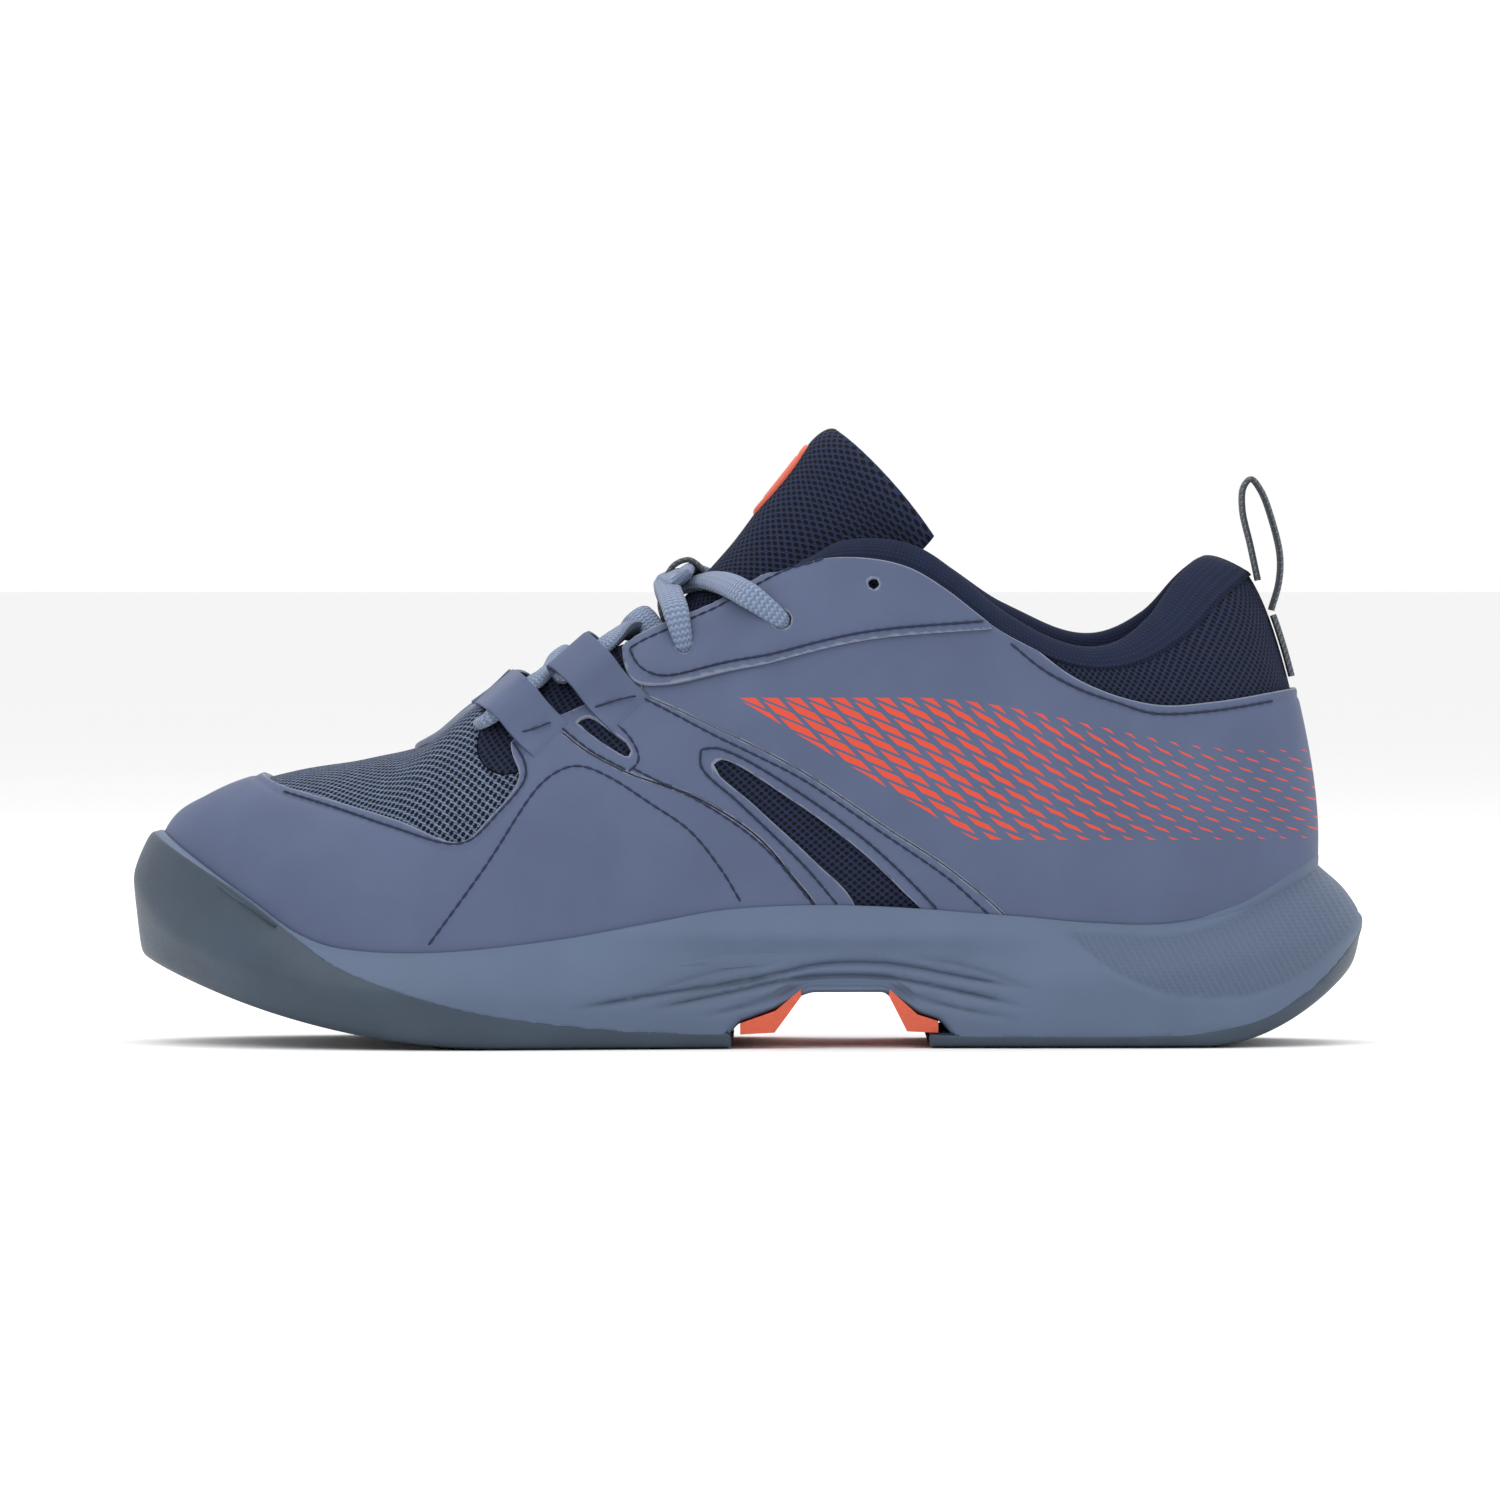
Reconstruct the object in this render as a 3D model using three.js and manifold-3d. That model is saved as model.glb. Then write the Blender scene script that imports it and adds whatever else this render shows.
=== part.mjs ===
// A low-cut court shoe for the left foot, as the separate pieces it is made from.
// Millimetres. -X is the toe, +X the heel, -Y the outer (lateral) side, +Y the inner (medial) side, +Z up.
// The origin is on the ground, under the middle of the shoe.
import * as THREE from "three";
import { mergeVertices } from "three/addons/utils/BufferGeometryUtils.js";
import Module from "manifold-3d";

const wasm = await Module();
wasm.setup();

// ---- Driving dimensions -------------------------------------------------------------------------
const LENGTH = 300; // toe bumper to heel flare
const BALL_WIDTH = 111; // outsole width at the ball of the foot
const HEIGHT = 150; // ground to the top of the tongue

const GAP = 0.3; // clearance between two layers that touch
const OVERLAY = 1.2; // synthetic overlay panels
const MESH = 1.6; // base mesh of the upper
const LINING = 0.8;
const COLLAR_FOAM = 5; // thickest part of the ankle padding
const COUNTER = 1.5; // heel counter
const PUFF = 1.1; // toe puff
const BINDING_HEIGHT = 5.5; // rolled edge of the collar
const BUMPER = 3; // rubber wall round the toe
const TREAD = 3; // rubber under the midsole
const BOARD = 1.5; // stitched-in lasting board
const SOCKLINER = 4; // foam of the removable insole
const SOCK_CLOTH = 0.8; // cloth on the insole
const LACE_WIDTH = 6; // the lace is an oval braid
const LACE_THICKNESS = 2.8;
const STRAP = 1; // lace straps in front of the eyestay
const EYELET_RADIUS = 2.8; // eyelets that hold the lace
const SPARE_EYELET_RADIUS = 1.7;
const TONGUE_SKIN = 0.9;
const TONGUE_FOAM = 4;
const PATCH = 0.8; // moulded mark on the tongue
const WEBBING = 1; // pull loop and lace keeper
const PULL_LOOP_WIDTH = 11;
const KEEPER_WIDTH = 9;
const AGLET_LENGTH = 20;

// The patterns below are drawn for one base size and graded to the driving dimensions.
const GRADE = new THREE.Vector3(LENGTH / 300, BALL_WIDTH / 111, HEIGHT / 150);
const graded = ([x, y, z]) => [x * GRADE.x, y * GRADE.y, z * GRADE.z];
const gradedSide = (points) => points.map(([x, z]) => [x * GRADE.x, z * GRADE.z]);
const gradedPlan = (points) => points.map(([x, y]) => [x * GRADE.x, y * GRADE.y]);

// ---- Curves -------------------------------------------------------------------------------------
const RAD = Math.PI / 180;
const mix = (a, b, t) => a + (b - a) * t;
const clamp01 = (t) => Math.min(1, Math.max(0, t));
const smooth = (from, to, x) => {
  const t = clamp01((x - from) / (to - from));
  return t * t * (3 - 2 * t);
};

// A smooth curve through knots [at, value, value, ...], with the slopes of its neighbours.
function through(knots, at) {
  const last = knots.length - 1;
  if (at <= knots[0][0]) return knots[0].slice(1);
  if (at >= knots[last][0]) return knots[last].slice(1);
  const i = knots.findIndex((k) => k[0] > at) - 1;
  const [a, b] = [knots[i], knots[i + 1]];
  const step = b[0] - a[0];
  const t = (at - a[0]) / step;
  const slope = (k, c) => {
    const [before, after] = [knots[Math.max(0, k - 1)], knots[Math.min(last, k + 1)]];
    return (after[c] - before[c]) / (after[0] - before[0]);
  };
  return a.slice(1).map((value, n) => {
    const [m0, m1] = [slope(i, n + 1) * step, slope(i + 1, n + 1) * step];
    const [t2, t3] = [t * t, t * t * t];
    return (
      (2 * t3 - 3 * t2 + 1) * value +
      (t3 - 2 * t2 + t) * m0 +
      (3 * t2 - 2 * t3) * b[n + 1] +
      (t3 - t2) * m1
    );
  });
}

// ---- The sole's outline -------------------------------------------------------------------------
// The angle round the shoe is 0 at the back of the heel, 90 at the outer side, 180 at the toe tip and
// 270 at the inner side. Half-widths every 20 degrees, drawn at the base size.
const OUTLINE_Y = [
  2, -22, -38, -41, -41.5, -49, -55.5, -43, -17, 8, 31, 48.5, 55.5, 48, 37.5, 37, 38, 25.5,
];
const OUTLINE_STEP = 360 / OUTLINE_Y.length;
const OUTLINE_KNOTS = Array.from({ length: OUTLINE_Y.length + 5 }, (_, i) => {
  const n = i - 2;
  const count = OUTLINE_Y.length;
  return [n * OUTLINE_STEP, OUTLINE_Y[(n + count) % count] * GRADE.y];
});
const turn = (angle) => ((angle % 360) + 360) % 360;
const outlineAt = (angle) =>
  new THREE.Vector2((LENGTH / 2) * Math.cos(turn(angle) * RAD), through(OUTLINE_KNOTS, turn(angle))[0]);

// A point of the outline moved in by some distance.
function inset(angle, distance) {
  const STEP = 2;
  const tangent = outlineAt(angle + STEP).sub(outlineAt(angle - STEP)).normalize();
  return outlineAt(angle).add(new THREE.Vector2(tangent.y, -tangent.x).multiplyScalar(distance));
}

// ---- Heights along the shoe ---------------------------------------------------------------------
const TOE_SPRING_START = -58;
const HEEL_BEVEL_START = 110;
// Underside of the sole: flat in the middle, curving up at the toe and at the back of the heel.
function groundAt(x) {
  const toe = Math.max(0, TOE_SPRING_START - x / GRADE.x);
  const heel = Math.max(0, x / GRADE.x - HEEL_BEVEL_START);
  return (toe * toe * 0.00257 + heel * heel * 0.013) * GRADE.z;
}
const BED = [[-150, 27], [-125, 22], [-100, 18.5], [-60, 17], [0, 21], [60, 24.5], [100, 25], [150, 26]];
const bedAt = (x) => through(BED, x / GRADE.x)[0] * GRADE.z;
// Upper edge of the sole's side wall: the toe bumper, the foam side wall and the heel flare.
const RIM = [
  [-150, 53], [-140, 47.5], [-121, 35.4], [-109, 27.5], [-98, 24], [-75, 23.2], [-46, 26.1], [-24, 30],
  [-4, 33.4], [25, 34.2], [64, 31.7], [84, 30], [103, 30], [118, 34.2], [132, 42.7], [140, 48],
];
const rimAt = (x) => through(RIM, x / GRADE.x)[0] * GRADE.z;
// By angle: height of the widest line, and how far the wall leans in above it.
const SOLE_WALL = [
  [0, 31, 12.5], [25, 25, 10.5], [50, 17, 5.5], [90, 14, 4], [130, 14, 4], [155, 26, 4], [180, 40, 3.6],
  [205, 26, 4], [230, 14, 4], [270, 14, 4], [310, 17, 5.5], [335, 25, 10.5], [360, 31, 12.5],
];

// ---- Solids -------------------------------------------------------------------------------------
// A closed mesh from points and quads, as a manifold-3d solid.
function solidFrom(points, quads) {
  const flat = quads.flatMap(([a, b, c, d]) => [a, b, c, a, c, d]);
  const positions = new Float32Array(flat.flatMap((i) => points[i]));
  const loose = new THREE.BufferGeometry();
  loose.setAttribute("position", new THREE.BufferAttribute(positions, 3));
  return solidOf(loose);
}
function solidOf(geometry) {
  const bare = geometry.index ? geometry.toNonIndexed() : geometry.clone();
  bare.deleteAttribute("normal");
  bare.deleteAttribute("uv");
  const merged = mergeVertices(bare, 1e-3);
  const made = new wasm.Manifold(
    new wasm.Mesh({
      numProp: 3,
      vertProperties: merged.attributes.position.array,
      triVerts: dropCollapsed(merged.index.array),
    }),
  );
  return made.volume() < 0 ? insideOut(merged) : made;
}
function dropCollapsed(index) {
  const kept = [];
  for (let i = 0; i < index.length; i += 3) {
    const [a, b, c] = [index[i], index[i + 1], index[i + 2]];
    if (a !== b && b !== c && a !== c) kept.push(a, b, c);
  }
  return new Uint32Array(kept);
}
function insideOut(merged) {
  const triVerts = dropCollapsed(merged.index.array).reverse();
  const vertProperties = merged.attributes.position.array;
  return new wasm.Manifold(new wasm.Mesh({ numProp: 3, vertProperties, triVerts }));
}

// A solid between closed rings of equal length, from the first ring to the last, capped straight across.
// Point i of a ring pairs with point count - i on the other side.
function loft(rings) {
  const count = rings[0].length;
  const points = rings.flat();
  const quads = [];
  for (let r = 0; r + 1 < rings.length; r++)
    for (let i = 0; i < count; i++) {
      const next = (i + 1) % count;
      quads.push([r * count + i, r * count + next, (r + 1) * count + next, (r + 1) * count + i]);
    }
  const half = count / 2;
  const top = (rings.length - 1) * count;
  for (let i = 0; i < half; i++) {
    const [a, b, c, d] = [i, i + 1, count - i - 1, (count - i) % count];
    quads.push([d, c, b, a], [top + a, top + b, top + c, top + d]);
  }
  return solidFrom(points, quads);
}

const grown = (outline, by) =>
  by === 0 ? outline : new wasm.CrossSection([outline], "EvenOdd").offset(by, "Miter", 3).toPolygons()[0];
const shapeOf = (points) => new THREE.Shape(points.map(([a, b]) => new THREE.Vector2(a, b)));
const splineOutline = (points, spans = 24) => {
  const curve = new THREE.CatmullRomCurve3(points.map(([a, b]) => new THREE.Vector3(a, b, 0)), false, "centripetal");
  return curve.getPoints(spans).map((p) => [p.x, p.y]);
};
// A side-view outline made solid across the shoe, between two values of y.
function across(points, from, to) {
  const geometry = new THREE.ExtrudeGeometry(shapeOf(points), { depth: to - from, bevelEnabled: false });
  geometry.rotateX(Math.PI / 2);
  geometry.translate(0, to, 0);
  return solidOf(geometry);
}
// A plan-view outline made solid upwards.
function upright(points, from, to) {
  const geometry = new THREE.ExtrudeGeometry(shapeOf(points), { depth: to - from, bevelEnabled: false });
  geometry.translate(0, 0, from);
  return solidOf(geometry);
}

const FAR = 400;
const LATERAL = [-FAR, 0];
const MEDIAL = [0, FAR];
const WIDE = [-FAR, FAR];

// ---- The upper's surface ------------------------------------------------------------------------
// A rib runs from the feather line, where the upper meets the sole, to the collar's crest or the ridge
// of the instep. It bends as a quarter of a superellipse. Ends of the ribs, by angle.
const OPENING = 93; // the ankle opening's crest runs this far round on each side
const CREST = [
  [0, 113, 1, 120], [12, 111, -8, 118.8], [22, 106, -15, 114.5], [34, 98, -22.5, 104.5], [46, 88, -27.5, 98],
  [56, 77, -30.5, 98], [66, 62, -32, 105.5], [74, 49, -31.5, 116], [79, 41, -30.5, 121], [84, 32, -29, 123],
  [89, 22, -26, 122.3], [93, 14, -21.5, 118.5],
];
const RIDGE = [
  [98, 3, 3, 117], [104, -10, 3, 110.5], [110, -23, 3, 104.5], [117, -38, 3, 96.7], [124, -52, 3, 87.3],
  [132, -66, 4, 75], [142, -84, 5, 69.6], [152, -101, 6, 67], [162, -116, 7, 63.6], [171, -126, 7.5, 60],
  [180, -131, 8, 58.2],
];
// How far each rib turns, in degrees: to level over the instep and at the back of the heel, less at the sides
// of the collar, whose wall still stands at its crest.
const TURN = [[0, 88], [20, 84], [42, 70], [60, 60], [82, 60], [98, 90], [140, 90], [160, 86], [180, 76]];
const MEDIAL_RISE = 2.5; // the crest is higher at the inner ankle
const FULLNESS = [
  [0, 2.45], [30, 2.5], [50, 2.4], [66, 2.1], [80, 1.9], [93, 1.9], [104, 2.1], [117, 2.2], [132, 2.4], [150, 2.9],
  [180, 3.6],
];
const HEEL_BULGE = [[0, 3.6], [30, 3], [60, 1], [90, 0], [180, 0]];
const FEATHER_INSET = [[0, 15.5], [25, 13], [50, 8.5], [90, 6.5], [130, 7], [155, 6.5], [180, 6]];

const folded = (angle) => Math.min(turn(angle), 360 - turn(angle));
const isMedial = (angle) => turn(angle) > 180;

function featherAt(angle) {
  const p = inset(angle, through(FEATHER_INSET, folded(angle))[0]);
  return new THREE.Vector3(p.x, p.y, bedAt(p.x));
}
function crestAt(angle) {
  const a = folded(angle);
  const [x, y, z] = through([...CREST, ...RIDGE], a);
  if (!isMedial(angle) || a >= RIDGE[0][0]) return new THREE.Vector3(...graded([x, y, z]));
  const open = smooth(RIDGE[0][0], OPENING, a);
  const rise = MEDIAL_RISE * smooth(20, 45, a) * smooth(75, 60, a);
  const mirroredY = mix(y, 2 - y, open);
  return new THREE.Vector3(...graded([x, mirroredY, z + rise]));
}
const ribTurn = (a) => Math.min(90, through(TURN, a)[0]) * RAD;
// The share of the rib's turn at which the collar's binding starts.
function bindingTurn(angle) {
  const a = folded(angle);
  const height = crestAt(angle).z - featherAt(angle).z;
  const power = 2 / through(FULLNESS, a)[0];
  const level = (1 - BINDING_HEIGHT / height) * Math.pow(Math.sin(ribTurn(a)), power);
  const open = Math.asin(Math.pow(level, 1 / power)) / ribTurn(a);
  return mix(0.8, open, smooth(RIDGE[1][0], OPENING, a));
}
function surfaceAt(angle, share) {
  const a = folded(angle);
  const [from, to] = [featherAt(angle), crestAt(angle)];
  const power = 2 / through(FULLNESS, a)[0];
  const [theta, end] = [clamp01(share) * ribTurn(a), ribTurn(a)];
  const inward = (1 - Math.pow(Math.cos(theta), power)) / (1 - Math.pow(Math.cos(end), power));
  const up = Math.pow(Math.sin(theta) / Math.sin(end), power);
  const outward = inset(angle, 0).sub(inset(angle, 1));
  const bulge = through(HEEL_BULGE, a)[0] * Math.sin(Math.PI * (1 - (1 - up) ** 2));
  return new THREE.Vector3(
    mix(from.x, to.x, inward) + outward.x * bulge,
    mix(from.y, to.y, inward) + outward.y * bulge,
    mix(from.z, to.z, up),
  );
}
function normalAt(angle, share) {
  const [da, ds] = [1.5, 0.015];
  const s = Math.min(1 - ds, Math.max(ds * 1.5, share));
  const round = surfaceAt(angle + da, s).sub(surfaceAt(angle - da, s));
  const rise = surfaceAt(angle, s + ds).sub(surfaceAt(angle, s - ds));
  return rise.cross(round).normalize();
}
const INNER_SHARE = 0.75; // inner layers of the collar leave the surface sideways, also at its crest
function offsetAt(angle, share, distance) {
  const inCollar = distance < 0 && folded(angle) < RIDGE[0][0];
  const normal = normalAt(angle, inCollar ? Math.min(share, INNER_SHARE) : share);
  if (share > 0.999 && folded(angle) >= RIDGE[0][0]) normal.add(normalAt(-angle, share)).normalize();
  return surfaceAt(angle, share).addScaledVector(normal, distance);
}

// Lines of the facets, shared by every layer so that the layers stay parallel.
const ROUND_LINES = [0, 10, 20, 31, 42, 52, 61, 69, 77, 85, 93, 98, 105, 113, 122, 132, 142, 152, 162, 171];
const ANGLES = [...ROUND_LINES, 180, ...ROUND_LINES.slice(1).reverse().map((a) => 360 - a)];
const ROWS_BELOW = [0, 0.16, 0.34, 0.54, 0.77, 1]; // shares of the way up to the binding
const ROWS_ABOVE = [0.1, 0.5, 1]; // shares of the way from there to the crest
const shareOfRow = (angle, row) => {
  const start = bindingTurn(angle);
  return row < ROWS_BELOW.length ? ROWS_BELOW[row] * start : mix(start, 1, ROWS_ABOVE[row - ROWS_BELOW.length]);
};
const TOP_ROW = ROWS_BELOW.length + ROWS_ABOVE.length - 1;
const BINDING_ROW = ROWS_BELOW.length - 1;

// A layer of the upper between two distances from its surface, over some of the angles and rows.
// Distances are numbers, or functions of the angle and the row.
function layer(inner, outer, angles = ANGLES, from = 0, to = BINDING_ROW) {
  const closed = angles.length === ANGLES.length;
  const rowList = Array.from({ length: to - from + 1 }, (_, i) => from + i);
  const points = [];
  for (const distance of [inner, outer])
    for (const angle of angles)
      for (const row of rowList) points.push(layerPoint(angle, row, distance));
  const [wide, tall] = [angles.length, rowList.length];
  const index = (side, i, j) => (side * wide + (i % wide)) * tall + j;
  const top = tall - 1;
  const meets = (i) => to === TOP_ROW && folded(angles[i % wide]) >= RIDGE[0][0];
  const quads = [];
  for (let i = 0; i < (closed ? wide : wide - 1); i++) {
    for (let j = 0; j < top; j++) {
      quads.push([index(1, i, j), index(1, i, j + 1), index(1, i + 1, j + 1), index(1, i + 1, j)]);
      quads.push([index(0, i, j), index(0, i + 1, j), index(0, i + 1, j + 1), index(0, i, j + 1)]);
    }
    quads.push([index(1, i, 0), index(1, i + 1, 0), index(0, i + 1, 0), index(0, i, 0)]);
    if (meets(i) && meets(i + 1)) continue;
    quads.push([index(1, i, top), index(0, i, top), index(0, i + 1, top), index(1, i + 1, top)]);
  }
  const end = wide - 1;
  for (let j = 0; j < top && !closed; j++) {
    quads.push([index(1, 0, j), index(0, 0, j), index(0, 0, j + 1), index(1, 0, j + 1)]);
    quads.push([index(0, end, j), index(1, end, j), index(1, end, j + 1), index(0, end, j + 1)]);
  }
  return solidFrom(points, quads);
}
function layerPoint(angle, row, distance) {
  const away = typeof distance === "function" ? distance(angle, row) : distance;
  const p = offsetAt(angle, shareOfRow(angle, row), away);
  return [p.x, p.y, row === 0 ? featherAt(angle).z : p.z];
}
// A layer over the whole upper: round the shoe to the collar, and over the instep and the toes.
function wholeLayer(inner, outer) {
  const overTop = layer(inner, outer, anglesBetween(RIDGE[0][0], 360 - RIDGE[0][0]), BINDING_ROW, TOP_ROW);
  return layer(inner, outer).add(overTop);
}
const anglesBetween = (from, to) => {
  const all = [...ANGLES, ...ANGLES.map((a) => a + 360)];
  return all.filter((a) => a >= from && a <= to);
};

// ---- Depths of the layers, measured in from the upper's surface ---------------------------------
const OVERLAY_IN = GAP;
const OVERLAY_OUT = OVERLAY_IN + OVERLAY;
const SECOND_IN = OVERLAY_OUT + GAP;
const SECOND_OUT = SECOND_IN + OVERLAY;
const BEHIND_MESH = MESH + GAP;
const COUNTER_ANGLE = 42;
const COUNTER_ROWS = [0, 3];
const PUFF_ANGLE = 152;
const PUFF_ROWS = [0, 4];
const FOAM_ANGLE = 77;
const FOAM_ROWS = [2, BINDING_ROW];
const within = (rows, row) => row >= rows[0] && row <= rows[1];
const counterDepth = (angle, row) =>
  folded(angle) <= COUNTER_ANGLE && within(COUNTER_ROWS, row) ? COUNTER + GAP : 0;
const puffDepth = (angle, row) => (folded(angle) >= PUFF_ANGLE && within(PUFF_ROWS, row) ? PUFF + GAP : 0);
function foamThickness(angle, row) {
  const p = surfaceAt(angle, shareOfRow(angle, row));
  const [x, z] = [p.x / GRADE.x, p.z / GRADE.z];
  return COLLAR_FOAM * Math.max(0.15, smooth(28, 50, x) * smooth(60, 80, z) * mix(1, 0.6, smooth(104, 120, z)));
}
const foamDepth = (angle, row) =>
  folded(angle) <= FOAM_ANGLE && within(FOAM_ROWS, row) ? foamThickness(angle, row) + GAP : 0;
const foamOuter = (angle, row) => -(BEHIND_MESH + counterDepth(angle, row));
const foamInner = (angle, row) => foamOuter(angle, row) - foamDepth(angle, row) + GAP;
const liningOuter = (angle, row) =>
  -(BEHIND_MESH + counterDepth(angle, row) + foamDepth(angle, row) + puffDepth(angle, row));
const liningInner = (angle, row) => liningOuter(angle, row) - LINING;

// ---- Throat opening, in plan --------------------------------------------------------------------
const THROAT_CENTRE = 3;
const THROAT_FRONT = -64;
const THROAT_HALF_WIDTHS = [[-64, 8], [-58, 12.5], [-40, 15.5], [-15, 18], [14, 20], [60, 20]];
const throatOutline = (extra) => {
  const side = THROAT_HALF_WIDTHS.map(([x, w], i) => [x - (i === 0 ? extra : 0), w + extra]);
  return gradedPlan([
    ...side.map(([x, w]) => [x, THROAT_CENTRE - w]),
    ...side.reverse().map(([x, w]) => [x, THROAT_CENTRE + w]),
  ]);
};
const throatCut = upright(throatOutline(0), 60 * GRADE.z, FAR);

// ---- Side-view outlines of the panels -----------------------------------------------------------
// Each is a line across the upper's side. A panel is what lies between two of them.
const MESH_WINDOW_FRONT = [[-119, 90], [-119, 65], [-114, 62.5], [-101, 59], [-84, 54.5], [-69, 49.5], [-62.5, 55], [-55, 65], [-57, 72], [-53, 90]];
const WRAP_REAR = [[-52, 110], [-58.5, 72.5], [-54, 75.5], [-46, 76], [-39.5, 71.5], [-29, 66], [-12, 60], [2, 51], [10, 42], [18.5, 30], [21, 10]];
const SADDLE_REAR = [[-24, 110], [-25.5, 84.5], [-9, 77.5], [12, 67], [34, 52.5], [50, 42], [65, 28], [72, 10]];
const WINDOW = [[27, 10], [26, 34], [16, 45], [2, 58], [-8.5, 68], [-6.5, 69.5], [10, 60], [27, 47.5], [37, 38], [44, 30], [46, 10]];
const SMALL_WINDOW = [[-40.5, 75.5], [-38.6, 77.3], [-32, 74.5], [-28.6, 69.5], [-30, 67.6], [-35.5, 70.5]];
const EYESTAY_LOWER = [[-24, 110], [-30, 96], [-28, 87.5], [-20, 86.5], [0, 91], [28, 98], [61, 101], [61, 140]];
const COLLAR_LINE = [[-60, 140], [20, 135], [63, 101.5], [80, 88.5], [98, 82.5], [112, 83], [131, 86], [170, 92]];

// Everything on the toe side of a line that runs from top to bottom, and everything below a line that
// runs from toe to heel. The zone is grown by some distance.
function toeSideOf(line, by = 0) {
  const points = gradedSide(line);
  const foot = points[points.length - 1][0];
  return grown([[points[0][0], FAR], [-FAR, FAR], [-FAR, -FAR], [foot, -FAR], ...points.reverse()], by);
}
function below(line, by = 0) {
  const points = gradedSide(line);
  const end = points[points.length - 1][1];
  return grown([[-FAR, -FAR], [FAR, -FAR], [FAR, end], ...[...points].reverse(), [-FAR, points[0][1]]], by);
}

// ---- Sole unit ----------------------------------------------------------------------------------
const SOLE_ANGLES = Array.from({ length: 44 }, (_, i) => (i * 360) / 44);
function soleBlock({ narrower = 0, lift = 0, lower = 0 } = {}) {
  const ring = (distance, height) =>
    SOLE_ANGLES.map((angle) => {
      const p = inset(angle, distance(angle) + narrower);
      return [p.x, p.y, height(angle, p)];
    });
  const wall = (angle, column) => through(SOLE_WALL, turn(angle))[column];
  const EDGE = 3; // the underside's rounded edge is this far in
  return loft([
    ring(() => EDGE + 7, (a, p) => groundAt(p.x) + lift),
    ring(() => EDGE, (a, p) => groundAt(p.x) + lift + 1),
    ring(() => 0, (a) => wall(a, 0) * GRADE.z + lift * 0.5),
    ring((a) => wall(a, 1), (a, p) => rimAt(p.x) - lower),
  ]);
}
// The space that the lasted upper fills, so that the sole's walls close round it.
function lastedSpace(clearance) {
  const rings = ROWS_BELOW.slice(0, 4).map((share) =>
    ANGLES.map((angle) => offsetAt(angle, share * bindingTurn(angle), OVERLAY_OUT + clearance).toArray()),
  );
  const floor = rings[0].map(([x, y]) => [x, y, bedAt(x) - BOARD - clearance]);
  return loft([floor, ...rings]);
}
const upperSpace = lastedSpace(GAP);

const FOREFOOT_RUBBER_LINE = [
  [-160, 60], [-148, 60], [-146, 53], [-121, 36], [-109, 27], [-99.5, 20.3], [-85, 14.6], [-65, 9], [-36, 5], [-16, 3.8],
  [-4, 3.6],
];
const rubberZone = (extra) =>
  [...gradedSide(FOREFOOT_RUBBER_LINE).map(([x, z]) => [x, z + extra]), [-4 * GRADE.x + extra, -FAR], [-FAR, -FAR], [-FAR, 60 * GRADE.z]].reverse();
const HEEL_RUBBER_START = 44;
const HEEL_RUBBER_LINE = [
  [HEEL_RUBBER_START, TREAD], [104, TREAD], [118, TREAD + 1.8], [130, 9.5], [139, 16], [146, 23.5], [152, 32],
];
const heelZone = (extra) => {
  const line = gradedSide(HEEL_RUBBER_LINE).reverse();
  return grown([[HEEL_RUBBER_START * GRADE.x, -FAR], [FAR, -FAR], [FAR, line[0][1]], ...line], extra);
};

const ARCH_FRONT_FOOT = 6.5;
const ARCH_REAR_FOOT = 38.5;
const ARCH_CEILING = 12.9;
const archGap = gradedSide([
  [-3, -20], [-3, 3.2], [ARCH_FRONT_FOOT, 3.6], [ARCH_FRONT_FOOT + 6.3, ARCH_CEILING - 0.6], [16, ARCH_CEILING],
  [32, ARCH_CEILING], [34, ARCH_CEILING - 1], [ARCH_REAR_FOOT, 3.8], [HEEL_RUBBER_START, 3.4], [HEEL_RUBBER_START, -20],
]);
const SHANK_STRIP_HALF_WIDTH = 24;
const SHANK_THICKNESS = 2.2;
// Wedge feet at both ends of the arch, joined by a strip that is let into the arch's ceiling.
function shankSolid(extra) {
  const wedgeFront = gradedSide([[-1.8 - extra, 6], [-1.8 - extra, 3.3 - 4 * extra], [ARCH_FRONT_FOOT, 3.7 - extra], [12.9 + extra, 12.3], [12.9 + extra, 14.2 + extra], [6.7, 9 + extra]]);
  const wedgeRear = gradedSide([[34.2 - extra, 12.3], [ARCH_REAR_FOOT, 3.9 - 4 * extra], [46 + extra, 3.6 - 4 * extra], [46 + extra, 6.4 + extra], [41, 8 + extra], [34.2 - extra, 14.2 + extra]]);
  const strip = gradedSide([[8, 9], [14, ARCH_CEILING - extra], [33, ARCH_CEILING - extra], [38, 9], [40, 9], [36, ARCH_CEILING + SHANK_THICKNESS + extra], [12, ARCH_CEILING + SHANK_THICKNESS + extra], [6.5, 9]]);
  const half = SHANK_STRIP_HALF_WIDTH + extra;
  return across(wedgeFront, ...WIDE).add(across(wedgeRear, ...WIDE)).add(across(strip, -half, half));
}

const block = soleBlock();
const forefootCore = soleBlock({ narrower: BUMPER, lift: TREAD });
const forefootCoreSlim = soleBlock({ narrower: BUMPER + GAP, lift: TREAD + GAP });
const archSpace = across(archGap, ...WIDE);

const outsoleForefoot = block
  .intersect(across(rubberZone(0), ...WIDE))
  .subtract(forefootCore)
  .subtract(upperSpace);
const outsoleHeel = block.intersect(across(heelZone(0), ...WIDE));
const shankBlank = shankSolid(0).intersect(soleBlock({ narrower: 0.6 }));
const midsole = block
  .subtract(across(rubberZone(GAP), ...WIDE).subtract(forefootCoreSlim))
  .subtract(across(heelZone(GAP), ...WIDE))
  .subtract(archSpace)
  .subtract(shankSolid(GAP))
  .subtract(upperSpace);
const shankPlate = shankBlank.subtract(across(heelZone(GAP), ...WIDE)).subtract(archSpace);

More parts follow.
